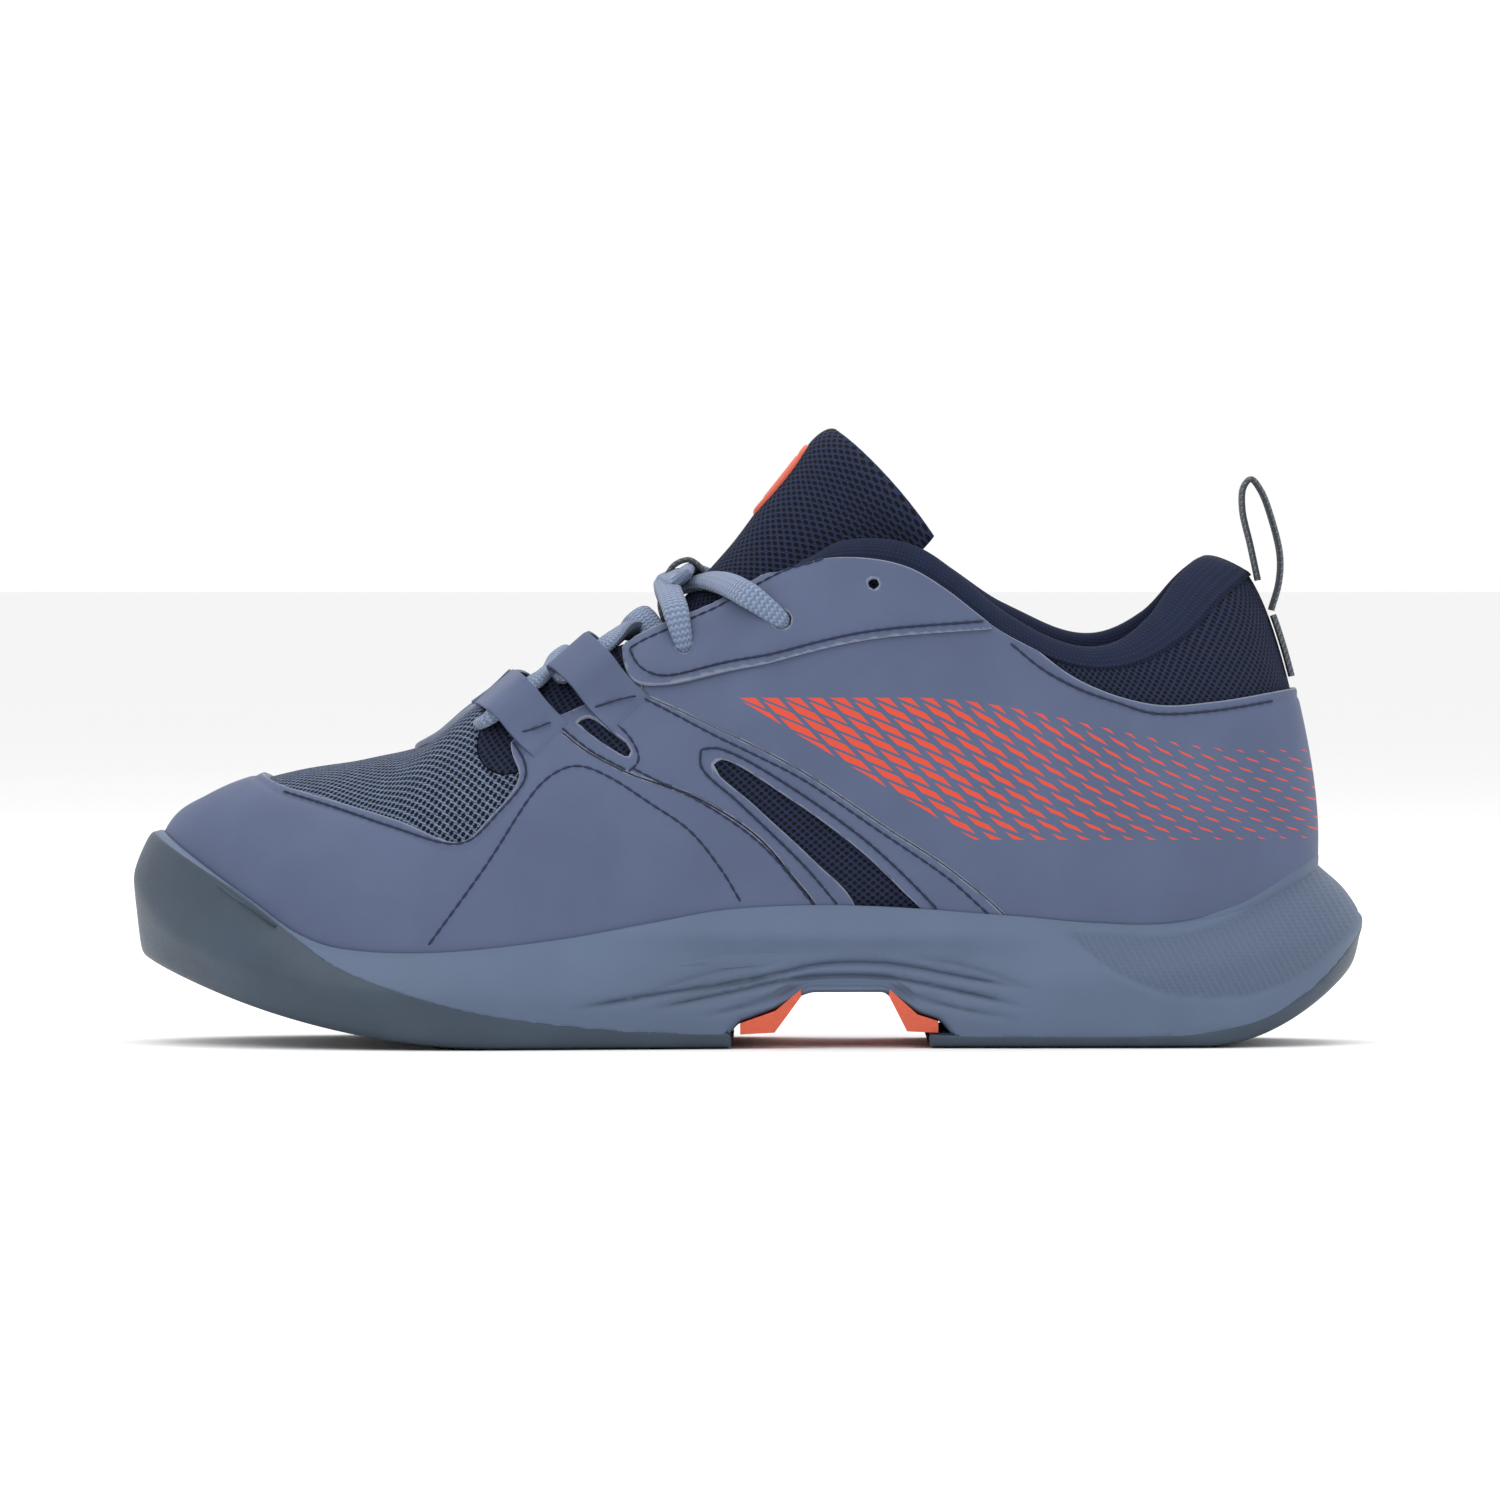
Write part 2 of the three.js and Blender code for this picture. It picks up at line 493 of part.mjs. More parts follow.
// ---- Insole parts -------------------------------------------------------------------------------
function bedLayer(edgeClearance, from, to) {
  const ring = (height) =>
    ANGLES.map((angle) => {
      const p = offsetAt(angle, 0, -edgeClearance);
      return [p.x, p.y, bedAt(p.x) + height];
    });
  return loft([ring(from), ring(to)]);
}
const UPPER_WALL = BEHIND_MESH + COUNTER + GAP + LINING; // thickest wall at the feather line
const lastingBoard = bedLayer(-OVERLAY_OUT + 0.2, -BOARD, -GAP);
const SOCK_CLEARANCE = UPPER_WALL + 1;
const sockliner = bedLayer(SOCK_CLEARANCE, 0, SOCKLINER);
const sockCloth = bedLayer(SOCK_CLEARANCE + 0.4, SOCKLINER + GAP, SOCKLINER + GAP + SOCK_CLOTH);

// ---- Eyelets and the lace -----------------------------------------------------------------------
// Places on the upper's side, by their x and z in the side view; the angle and share are found by steps.
function placeOn(side, x, z) {
  const aim = { x: x * GRADE.x, z: z * GRADE.z };
  let best = null;
  for (let angle = 40; angle <= 150; angle += 0.5)
    for (let share = 0.02; share <= 1; share += 0.01) {
      const at = side < 0 ? angle : 360 - angle;
      const p = surfaceAt(at, share);
      const miss = (p.x - aim.x) ** 2 + (p.z - aim.z) ** 2;
      if (!best || miss < best.miss) best = { miss, angle: at, share };
    }
  return best;
}
const EYELETS = [[-15, 95.5], [8.5, 102.5]];
const SPARE_EYELET = [30.6, 111.5];
function eyeletHole(side, [x, z], radius) {
  const { angle, share } = placeOn(side, x, z);
  const normal = normalAt(angle, share);
  const bit = new THREE.CylinderGeometry(radius, radius, 30, 10);
  bit.applyQuaternion(new THREE.Quaternion().setFromUnitVectors(new THREE.Vector3(0, 1, 0), normal));
  const p = surfaceAt(angle, share);
  bit.translate(p.x, p.y, p.z);
  return solidOf(bit);
}
const eyeletHoles = (side) =>
  EYELETS.map((place) => eyeletHole(side, place, EYELET_RADIUS))
    .concat([eyeletHole(side, SPARE_EYELET, SPARE_EYELET_RADIUS)])
    .reduce((all, one) => all.add(one));
const drilled = new Map([-1, 1].map((side) => [side, eyeletHoles(side)]));

// A band of flat or round section swept along stations of { at, up }, with half its width and height.
function sweep(stations, halfWidth, halfHeight, section, narrowing = 0) {
  const rings = stations.map(({ at, up, narrowed = 0 }, i) => {
    const before = stations[Math.max(0, i - 1)].at;
    const after = stations[Math.min(stations.length - 1, i + 1)].at;
    const along = after.clone().sub(before).normalize();
    const across = along.clone().cross(up).normalize();
    const lift = across.clone().cross(along).normalize();
    const wide = (w) => w * (halfWidth - narrowing * narrowed);
    return section.map(([w, h]) =>
      at.clone().addScaledVector(across, wide(w)).addScaledVector(lift, h * halfHeight).toArray(),
    );
  });
  return loft(rings);
}
const ROUND_SECTION = Array.from({ length: 6 }, (_, i) => [Math.cos((i * Math.PI) / 3), Math.sin((i * Math.PI) / 3)]);
const FLAT_SECTION = [[-1, 1], [-1, -1], [1, -1], [1, 1]];
// Stations along a smooth curve through knots of { at, up }.
function stationsThrough(knots, count) {
  const line = new THREE.CatmullRomCurve3(knots.map((k) => k.at), false, "centripetal");
  const ups = new THREE.CatmullRomCurve3(knots.map((k) => k.up), false, "catmullrom", 0.3);
  const narrowedAt = (t) => {
    const place = t * (knots.length - 1);
    const [before, after] = [knots[Math.floor(place)], knots[Math.ceil(place)]];
    return mix(before.narrowed ?? 0, after.narrowed ?? 0, place % 1);
  };
  return Array.from({ length: count + 1 }, (_, i) => ({
    at: line.getPoint(i / count),
    up: ups.getPoint(i / count).normalize(),
    narrowed: narrowedAt(i / count),
  }));
}

const UP = new THREE.Vector3(-0.6, 0, 0.8); // away from the instep
const overTongue = (x, y, z, up = UP) => ({ at: new THREE.Vector3(...graded([x, THROAT_CENTRE + y, z])), up });
function onSide(side, x, z, distance) {
  const { angle, share } = placeOn(side, x, z);
  return { at: offsetAt(angle, share, distance), up: normalAt(angle, share) };
}
const LACE_ON_PANEL = OVERLAY_OUT + GAP + LACE_THICKNESS / 2 + 0.5; // middle of a lace that lies on a panel
const LACE_IN_EYELET = [SECOND_OUT + 2.6, -(BEHIND_MESH + LINING + GAP + LACE_THICKNESS / 2 + 0.4)];
// Half of the lace, from the middle of its lowest bar to the tucked-in tip. It leaves towards one side.
function laceHalf(side) {
  const far = -side;
  const inEyelet = (s, [x, z], distance, along) => {
    const place = onSide(s, x, z, distance);
    return { at: place.at, up: along, narrowed: 1 };
  };
  const back = new THREE.Vector3(1, 0, 0.2);
  return [
    overTongue(-62, 0, 80.5), overTongue(-62, side * 7, 80),
    onSide(side, -59, 75.5, LACE_ON_PANEL), onSide(side, -53, 80, LACE_ON_PANEL),
    overTongue(-48, side * 10, 89.5), overTongue(-45, 0, 91 - side * 2), overTongue(-42, far * 9, 92.5),
    onSide(far, -39.5, 88.5, LACE_ON_PANEL), onSide(far, -33, 93, LACE_ON_PANEL),
    overTongue(-28, far * 11, 101), overTongue(-26.5, 0, 101 - side * 2), overTongue(-22, side * 10, 99),
    inEyelet(side, [-17.5, 97.5], LACE_IN_EYELET[1], UP), inEyelet(side, EYELETS[0], LACE_IN_EYELET[1] + 1, back),
    inEyelet(side, EYELETS[0], OVERLAY_OUT, back), inEyelet(side, [-16, 97.5], LACE_IN_EYELET[0], back),
    overTongue(-16.5, side * 11, 107.5), overTongue(-15.5, 0, 111 - side * 2), overTongue(-10, far * 11, 111),
    inEyelet(far, [4.5, 104.5], LACE_IN_EYELET[0], UP), inEyelet(far, EYELETS[1], OVERLAY_OUT, back),
    inEyelet(far, EYELETS[1], LACE_IN_EYELET[1] + 1, back), inEyelet(far, [6, 95], LACE_IN_EYELET[1] - 1, UP),
    inEyelet(far, [0, 84], LACE_IN_EYELET[1] - 1, UP), inEyelet(far, [-8, 72], LACE_IN_EYELET[1] - 1, UP),
  ];
}
const LACE_NARROWING = 1.1; // the lace is squeezed in the eyelets
const LACE_STATIONS = 48; // in each half
function laceSolid(extra) {
  const half = (side) => stationsThrough(laceHalf(side), LACE_STATIONS);
  const stations = [...half(-1).reverse(), ...half(1).slice(1)];
  return sweep(stations, LACE_WIDTH / 2 + extra, LACE_THICKNESS / 2 + extra, ROUND_SECTION, LACE_NARROWING);
}

function agletSolid(side) {
  const ends = stationsThrough(laceHalf(side), LACE_STATIONS).slice(-2);
  const along = ends[1].at.clone().sub(ends[0].at).normalize();
  const at = (distance) => ({ at: ends[1].at.clone().addScaledVector(along, distance), up: ends[1].up });
  return sweep([at(GAP), at(GAP + AGLET_LENGTH / 2), at(GAP + AGLET_LENGTH)], 1.6, 1.2, ROUND_SECTION);
}

// ---- Tongue -------------------------------------------------------------------------------------
// Knots along the tongue, from its stitched end to its top: middle x and z, half-width, and how far its
// sides are set back from its middle.
const TONGUE = [
  [0, -74, 67.5, 16, 3], [0.1, -62, 71.5, 17, 4], [0.24, -46, 82, 18.5, 7], [0.4, -28, 93.5, 19.5, 10],
  [0.5, -18, 102.5, 19.5, 13], [0.6, -10, 112.5, 19, 17], [0.7, -3, 121, 19, 22], [0.85, 9, 136, 21, 30],
  [1, 19.5, 149, 23.5, 34],
];
const TONGUE_WRAP = 78; // degrees of the section's turn at the tongue's edge
const TONGUE_ACROSS = [-1, -0.8, -0.55, -0.28, 0, 0.28, 0.55, 0.8, 1];
function tongueSurface(s, t) {
  const [x, z, halfWidth, setBack] = through(TONGUE, s);
  const [x1, z1] = through(TONGUE, Math.min(1, s + 0.02));
  const [x0, z0] = through(TONGUE, Math.max(0, s - 0.02));
  const [dx, dz] = [(x1 - x0) * GRADE.x, (z1 - z0) * GRADE.z];
  const length = Math.hypot(dx, dz);
  const turned = t * TONGUE_WRAP * RAD;
  const back = (setBack * GRADE.x * (1 - Math.cos(turned))) / (1 - Math.cos(TONGUE_WRAP * RAD));
  const y = THROAT_CENTRE + (halfWidth * Math.sin(turned)) / Math.sin(TONGUE_WRAP * RAD);
  return new THREE.Vector3(x * GRADE.x + (back * dz) / length, y * GRADE.y, z * GRADE.z - (back * dx) / length);
}
function tonguePoint(s, t, distance) {
  const up = tongueSurface(Math.min(1, s + 0.01), t).sub(tongueSurface(Math.max(0, s - 0.01), t));
  const over = tongueSurface(s, t + 0.03).sub(tongueSurface(s, t - 0.03));
  const normal = up.cross(over).normalize();
  if (normal.x > 0) normal.negate();
  return tongueSurface(s, t).addScaledVector(normal, distance);
}
function tongueLayer(inner, outer, lengths, across = TONGUE_ACROSS) {
  const rings = lengths.map((s) => [
    ...across.map((t) => tonguePoint(s, t, outer).toArray()),
    ...[...across].reverse().map((t) => tonguePoint(s, t, inner).toArray()),
  ]);
  return loftStrip(rings);
}
// A loft whose caps join the two halves of each ring, point by point.
function loftStrip(rings) {
  const count = rings[0].length;
  const quads = [];
  for (let r = 0; r + 1 < rings.length; r++)
    for (let i = 0; i < count; i++) {
      const next = (i + 1) % count;
      quads.push([r * count + i, r * count + next, (r + 1) * count + next, (r + 1) * count + i]);
    }
  const top = (rings.length - 1) * count;
  for (let i = 0; i + 1 < count / 2; i++) {
    const [a, b, c, d] = [i, i + 1, count - 2 - i, count - 1 - i];
    quads.push([d, c, b, a], [top + a, top + b, top + c, top + d]);
  }
  return solidFrom(rings.flat(), quads);
}
const TONGUE_BEND = 0.66; // where the padded top bends away from the lower tongue
const TONGUE_BEND_GAP = 0.0015;
const LOWER_TONGUE = [0, 0.08, 0.16, 0.26, 0.36, 0.46, 0.56, TONGUE_BEND - TONGUE_BEND_GAP];
const UPPER_TONGUE = [TONGUE_BEND + TONGUE_BEND_GAP, 0.74, 0.81, 0.88, 0.95, 1];

// ---- Straps, loops and tab ----------------------------------------------------------------------
const STRAP_LIFT = OVERLAY_OUT + GAP + LACE_THICKNESS + 1 + GAP + STRAP / 2; // where a strap passes over the lace
const STRAP_FLAT = OVERLAY_OUT + GAP + STRAP / 2;
// A strap that is stitched down at both ends, with the lace's tunnel between them.
function strap(side, low, high, width) {
  const at = (t, distance) => onSide(side, mix(low[0], high[0], t), mix(low[1], high[1], t), distance);
  const knots = [
    at(0, STRAP_FLAT), at(0.3, STRAP_FLAT), at(0.48, STRAP_FLAT + 0.4), at(0.62, STRAP_LIFT), at(0.86, STRAP_LIFT),
    at(0.96, STRAP_FLAT + 1),
  ];
  return sweep(knots, width / 2, STRAP / 2, FLAT_SECTION);
}
const THROAT_TAB = [[-64.4, -9], [-67, -12.5], [-72, -13], [-78, -9.5], [-81, 3], [-78, 15.5], [-72, 19], [-67, 18.5], [-64.4, 15]];
const KEEPER = [
  [-20.2, 102.2], [-21.3, 106.5], [-20.4, 112], [-17.9, 116.3], [-14.3, 117.6], [-11.7, 116], [-10.2, 114.3],
];
const tailSides = () => [-1, 1].map((w) => (HEEL_SEAM_Y + (w * PULL_LOOP_WIDTH) / 2) * GRADE.y);
const webbingLine = (points) =>
  points.map(([x, z]) => ({ at: new THREE.Vector3(x * GRADE.x, 0, z * GRADE.z), up: new THREE.Vector3(0, 0, 1) }));
function webbingLoop(points, y, width) {
  const curve = new THREE.CatmullRomCurve3(webbingLine(points).map((p) => p.at), false, "centripetal");
  const spans = curve.getPoints(points.length * 2);
  const rings = spans.map((p, i) => {
    const along = spans[Math.min(spans.length - 1, i + 1)].clone().sub(spans[Math.max(0, i - 1)]).normalize();
    const lift = new THREE.Vector3(-along.z, 0, along.x).multiplyScalar(WEBBING / 2);
    return [[-1, 1], [-1, -1], [1, -1], [1, 1]].map(([w, h]) => [
      p.x + lift.x * h, (y + (w * width) / 2) * GRADE.y, p.z + lift.z * h,
    ]);
  });
  return loft(rings);
}

// ---- Pieces -------------------------------------------------------------------------------------
const root = new THREE.Group();
const material = (color, roughness, metalness = 0) => new THREE.MeshStandardMaterial({ color, roughness, metalness });
const RUBBER = material(0x4a5a6b, 0.7);
const FOAM_BLUE = material(0x67778f, 0.8);
const ORANGE = material(0xe06238, 0.45);
const OVERLAY_BLUE = material(0x626f8d, 0.6);
const DARK_MESH = material(0x2b3347, 0.9);
const LINING_CLOTH = material(0x343b52, 0.95);
const FOAM = material(0xd8d4c8, 0.95);
const BOARD_GREY = material(0xb5b2a8, 0.9);
const LACE_BLUE = material(0x7886a6, 0.85);
const WEBBING_GREY = material(0x4c4f55, 0.85);
const STIFFENER = material(0xa9a08c, 0.7);

// A cut can leave slivers beside the piece; the piece is the largest body.
const mainBody = (solid) => solid.decompose().reduce((most, one) => (one.volume() > most.volume() ? one : most));
// Puts a manifold-3d solid into the shoe as a named mesh.
function add(name, solid, finish, parent = root) {
  const made = mainBody(solid).getMesh();
  const geometry = new THREE.BufferGeometry();
  geometry.setAttribute("position", new THREE.BufferAttribute(new Float32Array(made.vertProperties), 3));
  geometry.setIndex(new THREE.BufferAttribute(new Uint32Array(made.triVerts), 1));
  const mesh = new THREE.Mesh(geometry, finish);
  mesh.name = name;
  parent.add(mesh);
}

add("outsole_forefoot", outsoleForefoot, RUBBER);
add("outsole_heel", outsoleHeel, RUBBER);
add("midsole", midsole, FOAM_BLUE);
add("shank_plate", shankPlate, ORANGE);
add("lasting_board", lastingBoard, BOARD_GREY);
add("sockliner_foam", sockliner, FOAM);
add("sockliner_cloth", sockCloth, LINING_CLOTH);

const region = (outline, side = 0) => across(outline, ...(side < 0 ? LATERAL : side > 0 ? MEDIAL : WIDE));
const HEEL_SEAM_Y = 1;
const sideOf = (side) =>
  side < 0
    ? across([[-FAR, -FAR], [FAR, -FAR], [FAR, FAR], [-FAR, FAR]], -FAR, HEEL_SEAM_Y - GAP / 2)
    : across([[-FAR, -FAR], [FAR, -FAR], [FAR, FAR], [-FAR, FAR]], HEEL_SEAM_Y + GAP / 2, FAR);

const laceRoom = laceSolid(1.5 * GAP);
const baseMesh = wholeLayer(-MESH, 0).subtract(throatCut).subtract(laceRoom);
const vampZone = (shift) => region(toeSideOf(WRAP_REAR, shift));
const VAMP_SEAM_SHIFT = -7; // the vamp's seam lies under the front wrap
add("vamp_mesh", baseMesh.intersect(vampZone(VAMP_SEAM_SHIFT)), DARK_MESH);
const quarters = baseMesh.subtract(vampZone(VAMP_SEAM_SHIFT + GAP));
for (const [side, name] of [[-1, "lateral"], [1, "medial"]])
  add(`quarter_mesh_${name}`, quarters.intersect(sideOf(side)).subtract(drilled.get(side)), DARK_MESH);

const liningSolid = wholeLayer(liningInner, liningOuter).subtract(throatCut).subtract(laceRoom);
add("lining", liningSolid.subtract(drilled.get(-1)).subtract(drilled.get(1)), LINING_CLOTH);
const foamAngles = anglesBetween(360 - FOAM_ANGLE, 360 + FOAM_ANGLE);
add("collar_foam", layer(foamInner, foamOuter, foamAngles, ...FOAM_ROWS), FOAM);
const counterAngles = anglesBetween(360 - COUNTER_ANGLE, 360 + COUNTER_ANGLE);
add("heel_counter", layer(-(BEHIND_MESH + COUNTER), -BEHIND_MESH, counterAngles, ...COUNTER_ROWS), STIFFENER);
const puffAngles = anglesBetween(PUFF_ANGLE, 360 - PUFF_ANGLE);
add("toe_puff", layer(-(BEHIND_MESH + PUFF), -BEHIND_MESH, puffAngles, ...PUFF_ROWS), STIFFENER);

const firstPanels = wholeLayer(OVERLAY_IN, OVERLAY_OUT).subtract(throatCut).subtract(laceRoom);
const secondPanels = wholeLayer(SECOND_IN, SECOND_OUT).subtract(throatCut).subtract(laceRoom);
const smallWindow = region(gradedSide(SMALL_WINDOW));
const vampWindow = region(gradedSide(MESH_WINDOW_FRONT));
const frontZone = region(toeSideOf(WRAP_REAR, -GAP));
add("front_wrap", firstPanels.intersect(frontZone).subtract(vampWindow).subtract(smallWindow), OVERLAY_BLUE);
const saddleZone = region(toeSideOf(SADDLE_REAR)).subtract(region(toeSideOf(WRAP_REAR)));
const saddle = firstPanels.intersect(saddleZone).subtract(region(gradedSide(WINDOW))).subtract(smallWindow);
const rearZone = region(below(COLLAR_LINE)).subtract(region(toeSideOf(SADDLE_REAR, GAP)));
const quarterPanels = firstPanels.intersect(rearZone).subtract(region(gradedSide(WINDOW)));
const eyestayZone = region([...gradedSide(EYESTAY_LOWER), [61 * GRADE.x, FAR], [-24 * GRADE.x, FAR]]);
for (const [side, name] of [[-1, "lateral"], [1, "medial"]]) {
  const cutToSide = (solid) => solid.intersect(sideOf(side)).subtract(drilled.get(side));
  add(`saddle_${name}`, cutToSide(saddle), OVERLAY_BLUE);
  add(`quarter_panel_${name}`, cutToSide(quarterPanels), OVERLAY_BLUE);
  add(`eyestay_${name}`, cutToSide(secondPanels.intersect(eyestayZone)), OVERLAY_BLUE);
}
const bindingAngles = anglesBetween(360 - OPENING, 360 + OPENING);
const bindingInner = (angle, row) => liningInner(angle, Math.min(row, BINDING_ROW));
add("collar_binding", layer(bindingInner, () => 0.4, bindingAngles, BINDING_ROW + 1, TOP_ROW), LINING_CLOTH);

for (const [side, name] of [[-1, "lateral"], [1, "medial"]]) {
  add(`lace_strap_front_${name}`, strap(side, [-49, 67], [-49.5, 86], 15).subtract(laceRoom), OVERLAY_BLUE);
  add(`lace_strap_rear_${name}`, strap(side, [-37, 79], [-33, 93.5], 11).subtract(laceRoom), OVERLAY_BLUE);
}
add("shoelace", laceSolid(0), LACE_BLUE);
add("aglet_lateral", agletSolid(-1), WEBBING_GREY);
add("aglet_medial", agletSolid(1), WEBBING_GREY);
const tabZone = upright(gradedPlan(THROAT_TAB), 50 * GRADE.z, FAR);
const clearOfPanels = region(grown(gradedSide(MESH_WINDOW_FRONT), -GAP));
add("throat_tab", firstPanels.intersect(tabZone).intersect(clearOfPanels), OVERLAY_BLUE);
add("tongue_lace_keeper", webbingLoop(KEEPER, THROAT_CENTRE, KEEPER_WIDTH), WEBBING_GREY);
const patch = tongueLayer(GAP, GAP + PATCH, [0.75, 0.81, 0.87, 0.92], [-0.28, -0.14, 0, 0.14, 0.28]);
add("tongue_patch", patch, ORANGE);
const tailBand = layer(OVERLAY_IN, OVERLAY_IN + WEBBING, anglesBetween(350, 370), 3, BINDING_ROW);
const tailZone = across(gradedSide([[100, 89], [200, 89], [200, 104.6], [100, 104.6]]), ...tailSides());
add("heel_pull_tail", tailBand.intersect(tailZone), WEBBING_GREY);

add("tongue_lower", tongueLayer(-2.4, 0, LOWER_TONGUE).subtract(laceRoom), DARK_MESH);
add("tongue_face", tongueLayer(-TONGUE_SKIN, 0, UPPER_TONGUE), DARK_MESH);
const behindFace = TONGUE_SKIN + GAP;
add("tongue_padding", tongueLayer(-behindFace - TONGUE_FOAM, -behindFace, UPPER_TONGUE), FOAM);
const behindFoam = behindFace + TONGUE_FOAM + GAP;
add("tongue_lining", tongueLayer(-behindFoam - TONGUE_SKIN, -behindFoam, UPPER_TONGUE), LINING_CLOTH);

const HEEL_LOOP = [
  [124.5, 112.6], [122.7, 121], [120.7, 130], [121, 135.3], [122.8, 137.3], [125.2, 134.5], [128, 127], [129.9, 118.5],
  [129.6, 112], [127.75, 105.3],
];
add("heel_pull_loop", webbingLoop(HEEL_LOOP, HEEL_SEAM_Y, PULL_LOOP_WIDTH), WEBBING_GREY);

export default root;
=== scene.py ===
"""A low-cut court shoe for the left foot, in the pieces it is sewn and moulded from.

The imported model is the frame, and every piece rides on one of its bodies. Shapes are worked out in
millimetres and turned into metres when a mesh is made. -X is the toe, -Y the outer side, +Z is up.
"""

import math

import bpy
import numpy as np
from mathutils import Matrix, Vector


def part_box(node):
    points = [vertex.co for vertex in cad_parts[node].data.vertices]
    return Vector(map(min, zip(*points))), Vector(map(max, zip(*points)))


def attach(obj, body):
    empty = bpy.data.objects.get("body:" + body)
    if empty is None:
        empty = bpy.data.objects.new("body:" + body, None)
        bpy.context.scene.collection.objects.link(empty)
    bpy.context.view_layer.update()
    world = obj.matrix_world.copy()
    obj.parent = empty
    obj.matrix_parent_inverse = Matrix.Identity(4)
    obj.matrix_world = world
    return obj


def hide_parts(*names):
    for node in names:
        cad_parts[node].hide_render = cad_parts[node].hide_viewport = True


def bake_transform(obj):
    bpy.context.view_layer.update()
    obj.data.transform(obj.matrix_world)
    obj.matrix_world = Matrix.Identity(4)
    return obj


bl_info = {
    "name": "Court Shoe",
    "version": (1, 0, 0),
    "blender": (4, 5, 0),
    "location": "View3D > Sidebar > Court Shoe",
    "description": "Builds a low-cut court shoe around its packed frame",
    "category": "Add Mesh",
}

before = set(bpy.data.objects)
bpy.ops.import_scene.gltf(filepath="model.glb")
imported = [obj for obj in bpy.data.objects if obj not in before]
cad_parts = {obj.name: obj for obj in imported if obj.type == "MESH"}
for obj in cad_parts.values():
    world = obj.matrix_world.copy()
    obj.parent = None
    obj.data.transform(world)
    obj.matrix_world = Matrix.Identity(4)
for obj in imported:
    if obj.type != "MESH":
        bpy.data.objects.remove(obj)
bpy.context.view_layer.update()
MM = 0.001
boxes = [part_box(node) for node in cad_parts]
LENGTH = (max(high.x for _, high in boxes) - min(low.x for low, _ in boxes)) / MM


def srgb(red, green, blue):
    """A colour from its display values, 0 to 255."""
    shares = (red / 255, green / 255, blue / 255)
    return tuple(c / 12.92 if c <= 0.04045 else ((c + 0.055) / 1.055) ** 2.4 for c in shares)


# ---- Settings -------------------------------------------------------------------------------------
def length(name, description, default):
    return bpy.props.FloatProperty(
        name=name, description=description, default=default, min=0.0,
        subtype="DISTANCE", unit="LENGTH", precision=4)


def colour(name, description, default):
    return bpy.props.FloatVectorProperty(
        name=name, description=description, default=default, size=3, min=0.0, max=1.0,
        subtype="COLOR")


class ShoeSizes(bpy.types.PropertyGroup):
    """Thicknesses of the shoe's pieces, the stitch pitch and the camera's view"""
    overlay: length("Overlay", "Thickness of the synthetic panels", 0.0012)
    gap: length("Layer gap", "Clearance between two layers", 0.0003)
    knit: length("Knit", "Thickness of the base mesh", 0.0016)
    stitch_pitch: length("Stitch pitch", "Distance from one stitch to the next", 0.0027)
    thread: length("Thread", "Diameter of the sewing thread", 0.0006)
    lace_width: length("Lace width", "Width of the oval lace", 0.0064)
    lace_thickness: length("Lace thickness", "Thickness of the oval lace", 0.0032)
    webbing: length("Webbing", "Thickness of the pull loop and the keeper", 0.0014)
    camera_distance: length("Camera distance", "From the camera to the shoe", 3.2)
    view_width: length("View width", "Width of the camera's view at the shoe", 0.366)


class ShoeColours(bpy.types.PropertyGroup):
    """Colours of the shoe's materials"""
    overlay: colour("Overlay", "Synthetic panels", srgb(74, 85, 113))
    raw_edge: colour("Raw edge", "Cut edges of the panels", srgb(135, 141, 156))
    print_ink: colour("Print", "Printed lozenges", srgb(201, 67, 44))
    knit: colour("Knit", "Yarn of the base mesh", srgb(24, 31, 51))
    knit_pale: colour("Pale yarn", "Second yarn in the toe mesh", srgb(119, 134, 162))
    # hole: painted shade seen through the mesh holes, darker than the lining behind them
    hole: colour("Holes", "Seen through the mesh", srgb(9, 11, 20))
    lining: colour("Lining", "Lining and collar edge", srgb(32, 39, 61))
    foam: colour("Midsole", "Midsole foam", srgb(80, 95, 119))
    rubber: colour("Rubber", "Outsole", srgb(47, 61, 76))
    shank: colour("Shank", "Shank plate and tongue mark", srgb(201, 82, 51))
    lace: colour("Lace", "Lace yarn", srgb(117, 132, 159))
    webbing: colour("Webbing", "Pull loop and keeper", srgb(88, 93, 100))
    thread: colour("Thread", "Sewing thread", srgb(30, 37, 61))
    floor: colour("Floor", "Studio floor", (0.9, 0.9, 0.9))


def sizes():
    return bpy.context.scene.shoe_sizes


def colours():
    return bpy.context.scene.shoe_colours


# ---- Curves ---------------------------------------------------------------------------------------
def smooth(start, end, x):
    t = np.clip((np.asarray(x, float) - start) / (end - start), 0, 1)
    return t * t * (3 - 2 * t)


def mix(a, b, t):
    return a + (b - a) * t


def unit(vectors):
    return vectors / np.maximum(np.linalg.norm(vectors, axis=-1, keepdims=True), 1e-12)


def through(knots):
    """The smooth curve through knots (at, value, ...) as a function, with the slopes of its neighbours."""
    knots = np.array(knots, float)
    x, y = knots[:, 0], knots[:, 1:]
    before = np.maximum(np.arange(len(x)) - 1, 0)
    after = np.minimum(np.arange(len(x)) + 1, len(x) - 1)
    slope = (y[after] - y[before]) / (x[after] - x[before])[:, None]

    def at(q):
        q = np.clip(np.asarray(q, float), x[0], x[-1])
        i = np.clip(np.searchsorted(x, q, side="right") - 1, 0, len(x) - 2)
        step = (x[i + 1] - x[i])[..., None]
        t = (q - x[i])[..., None] / step
        value = ((2 * t**3 - 3 * t**2 + 1) * y[i] + (t**3 - 2 * t**2 + t) * slope[i] * step
                 + (3 * t**2 - 2 * t**3) * y[i + 1] + (t**3 - t**2) * slope[i + 1] * step)
        return value[..., 0] if y.shape[1] == 1 else value
    return at


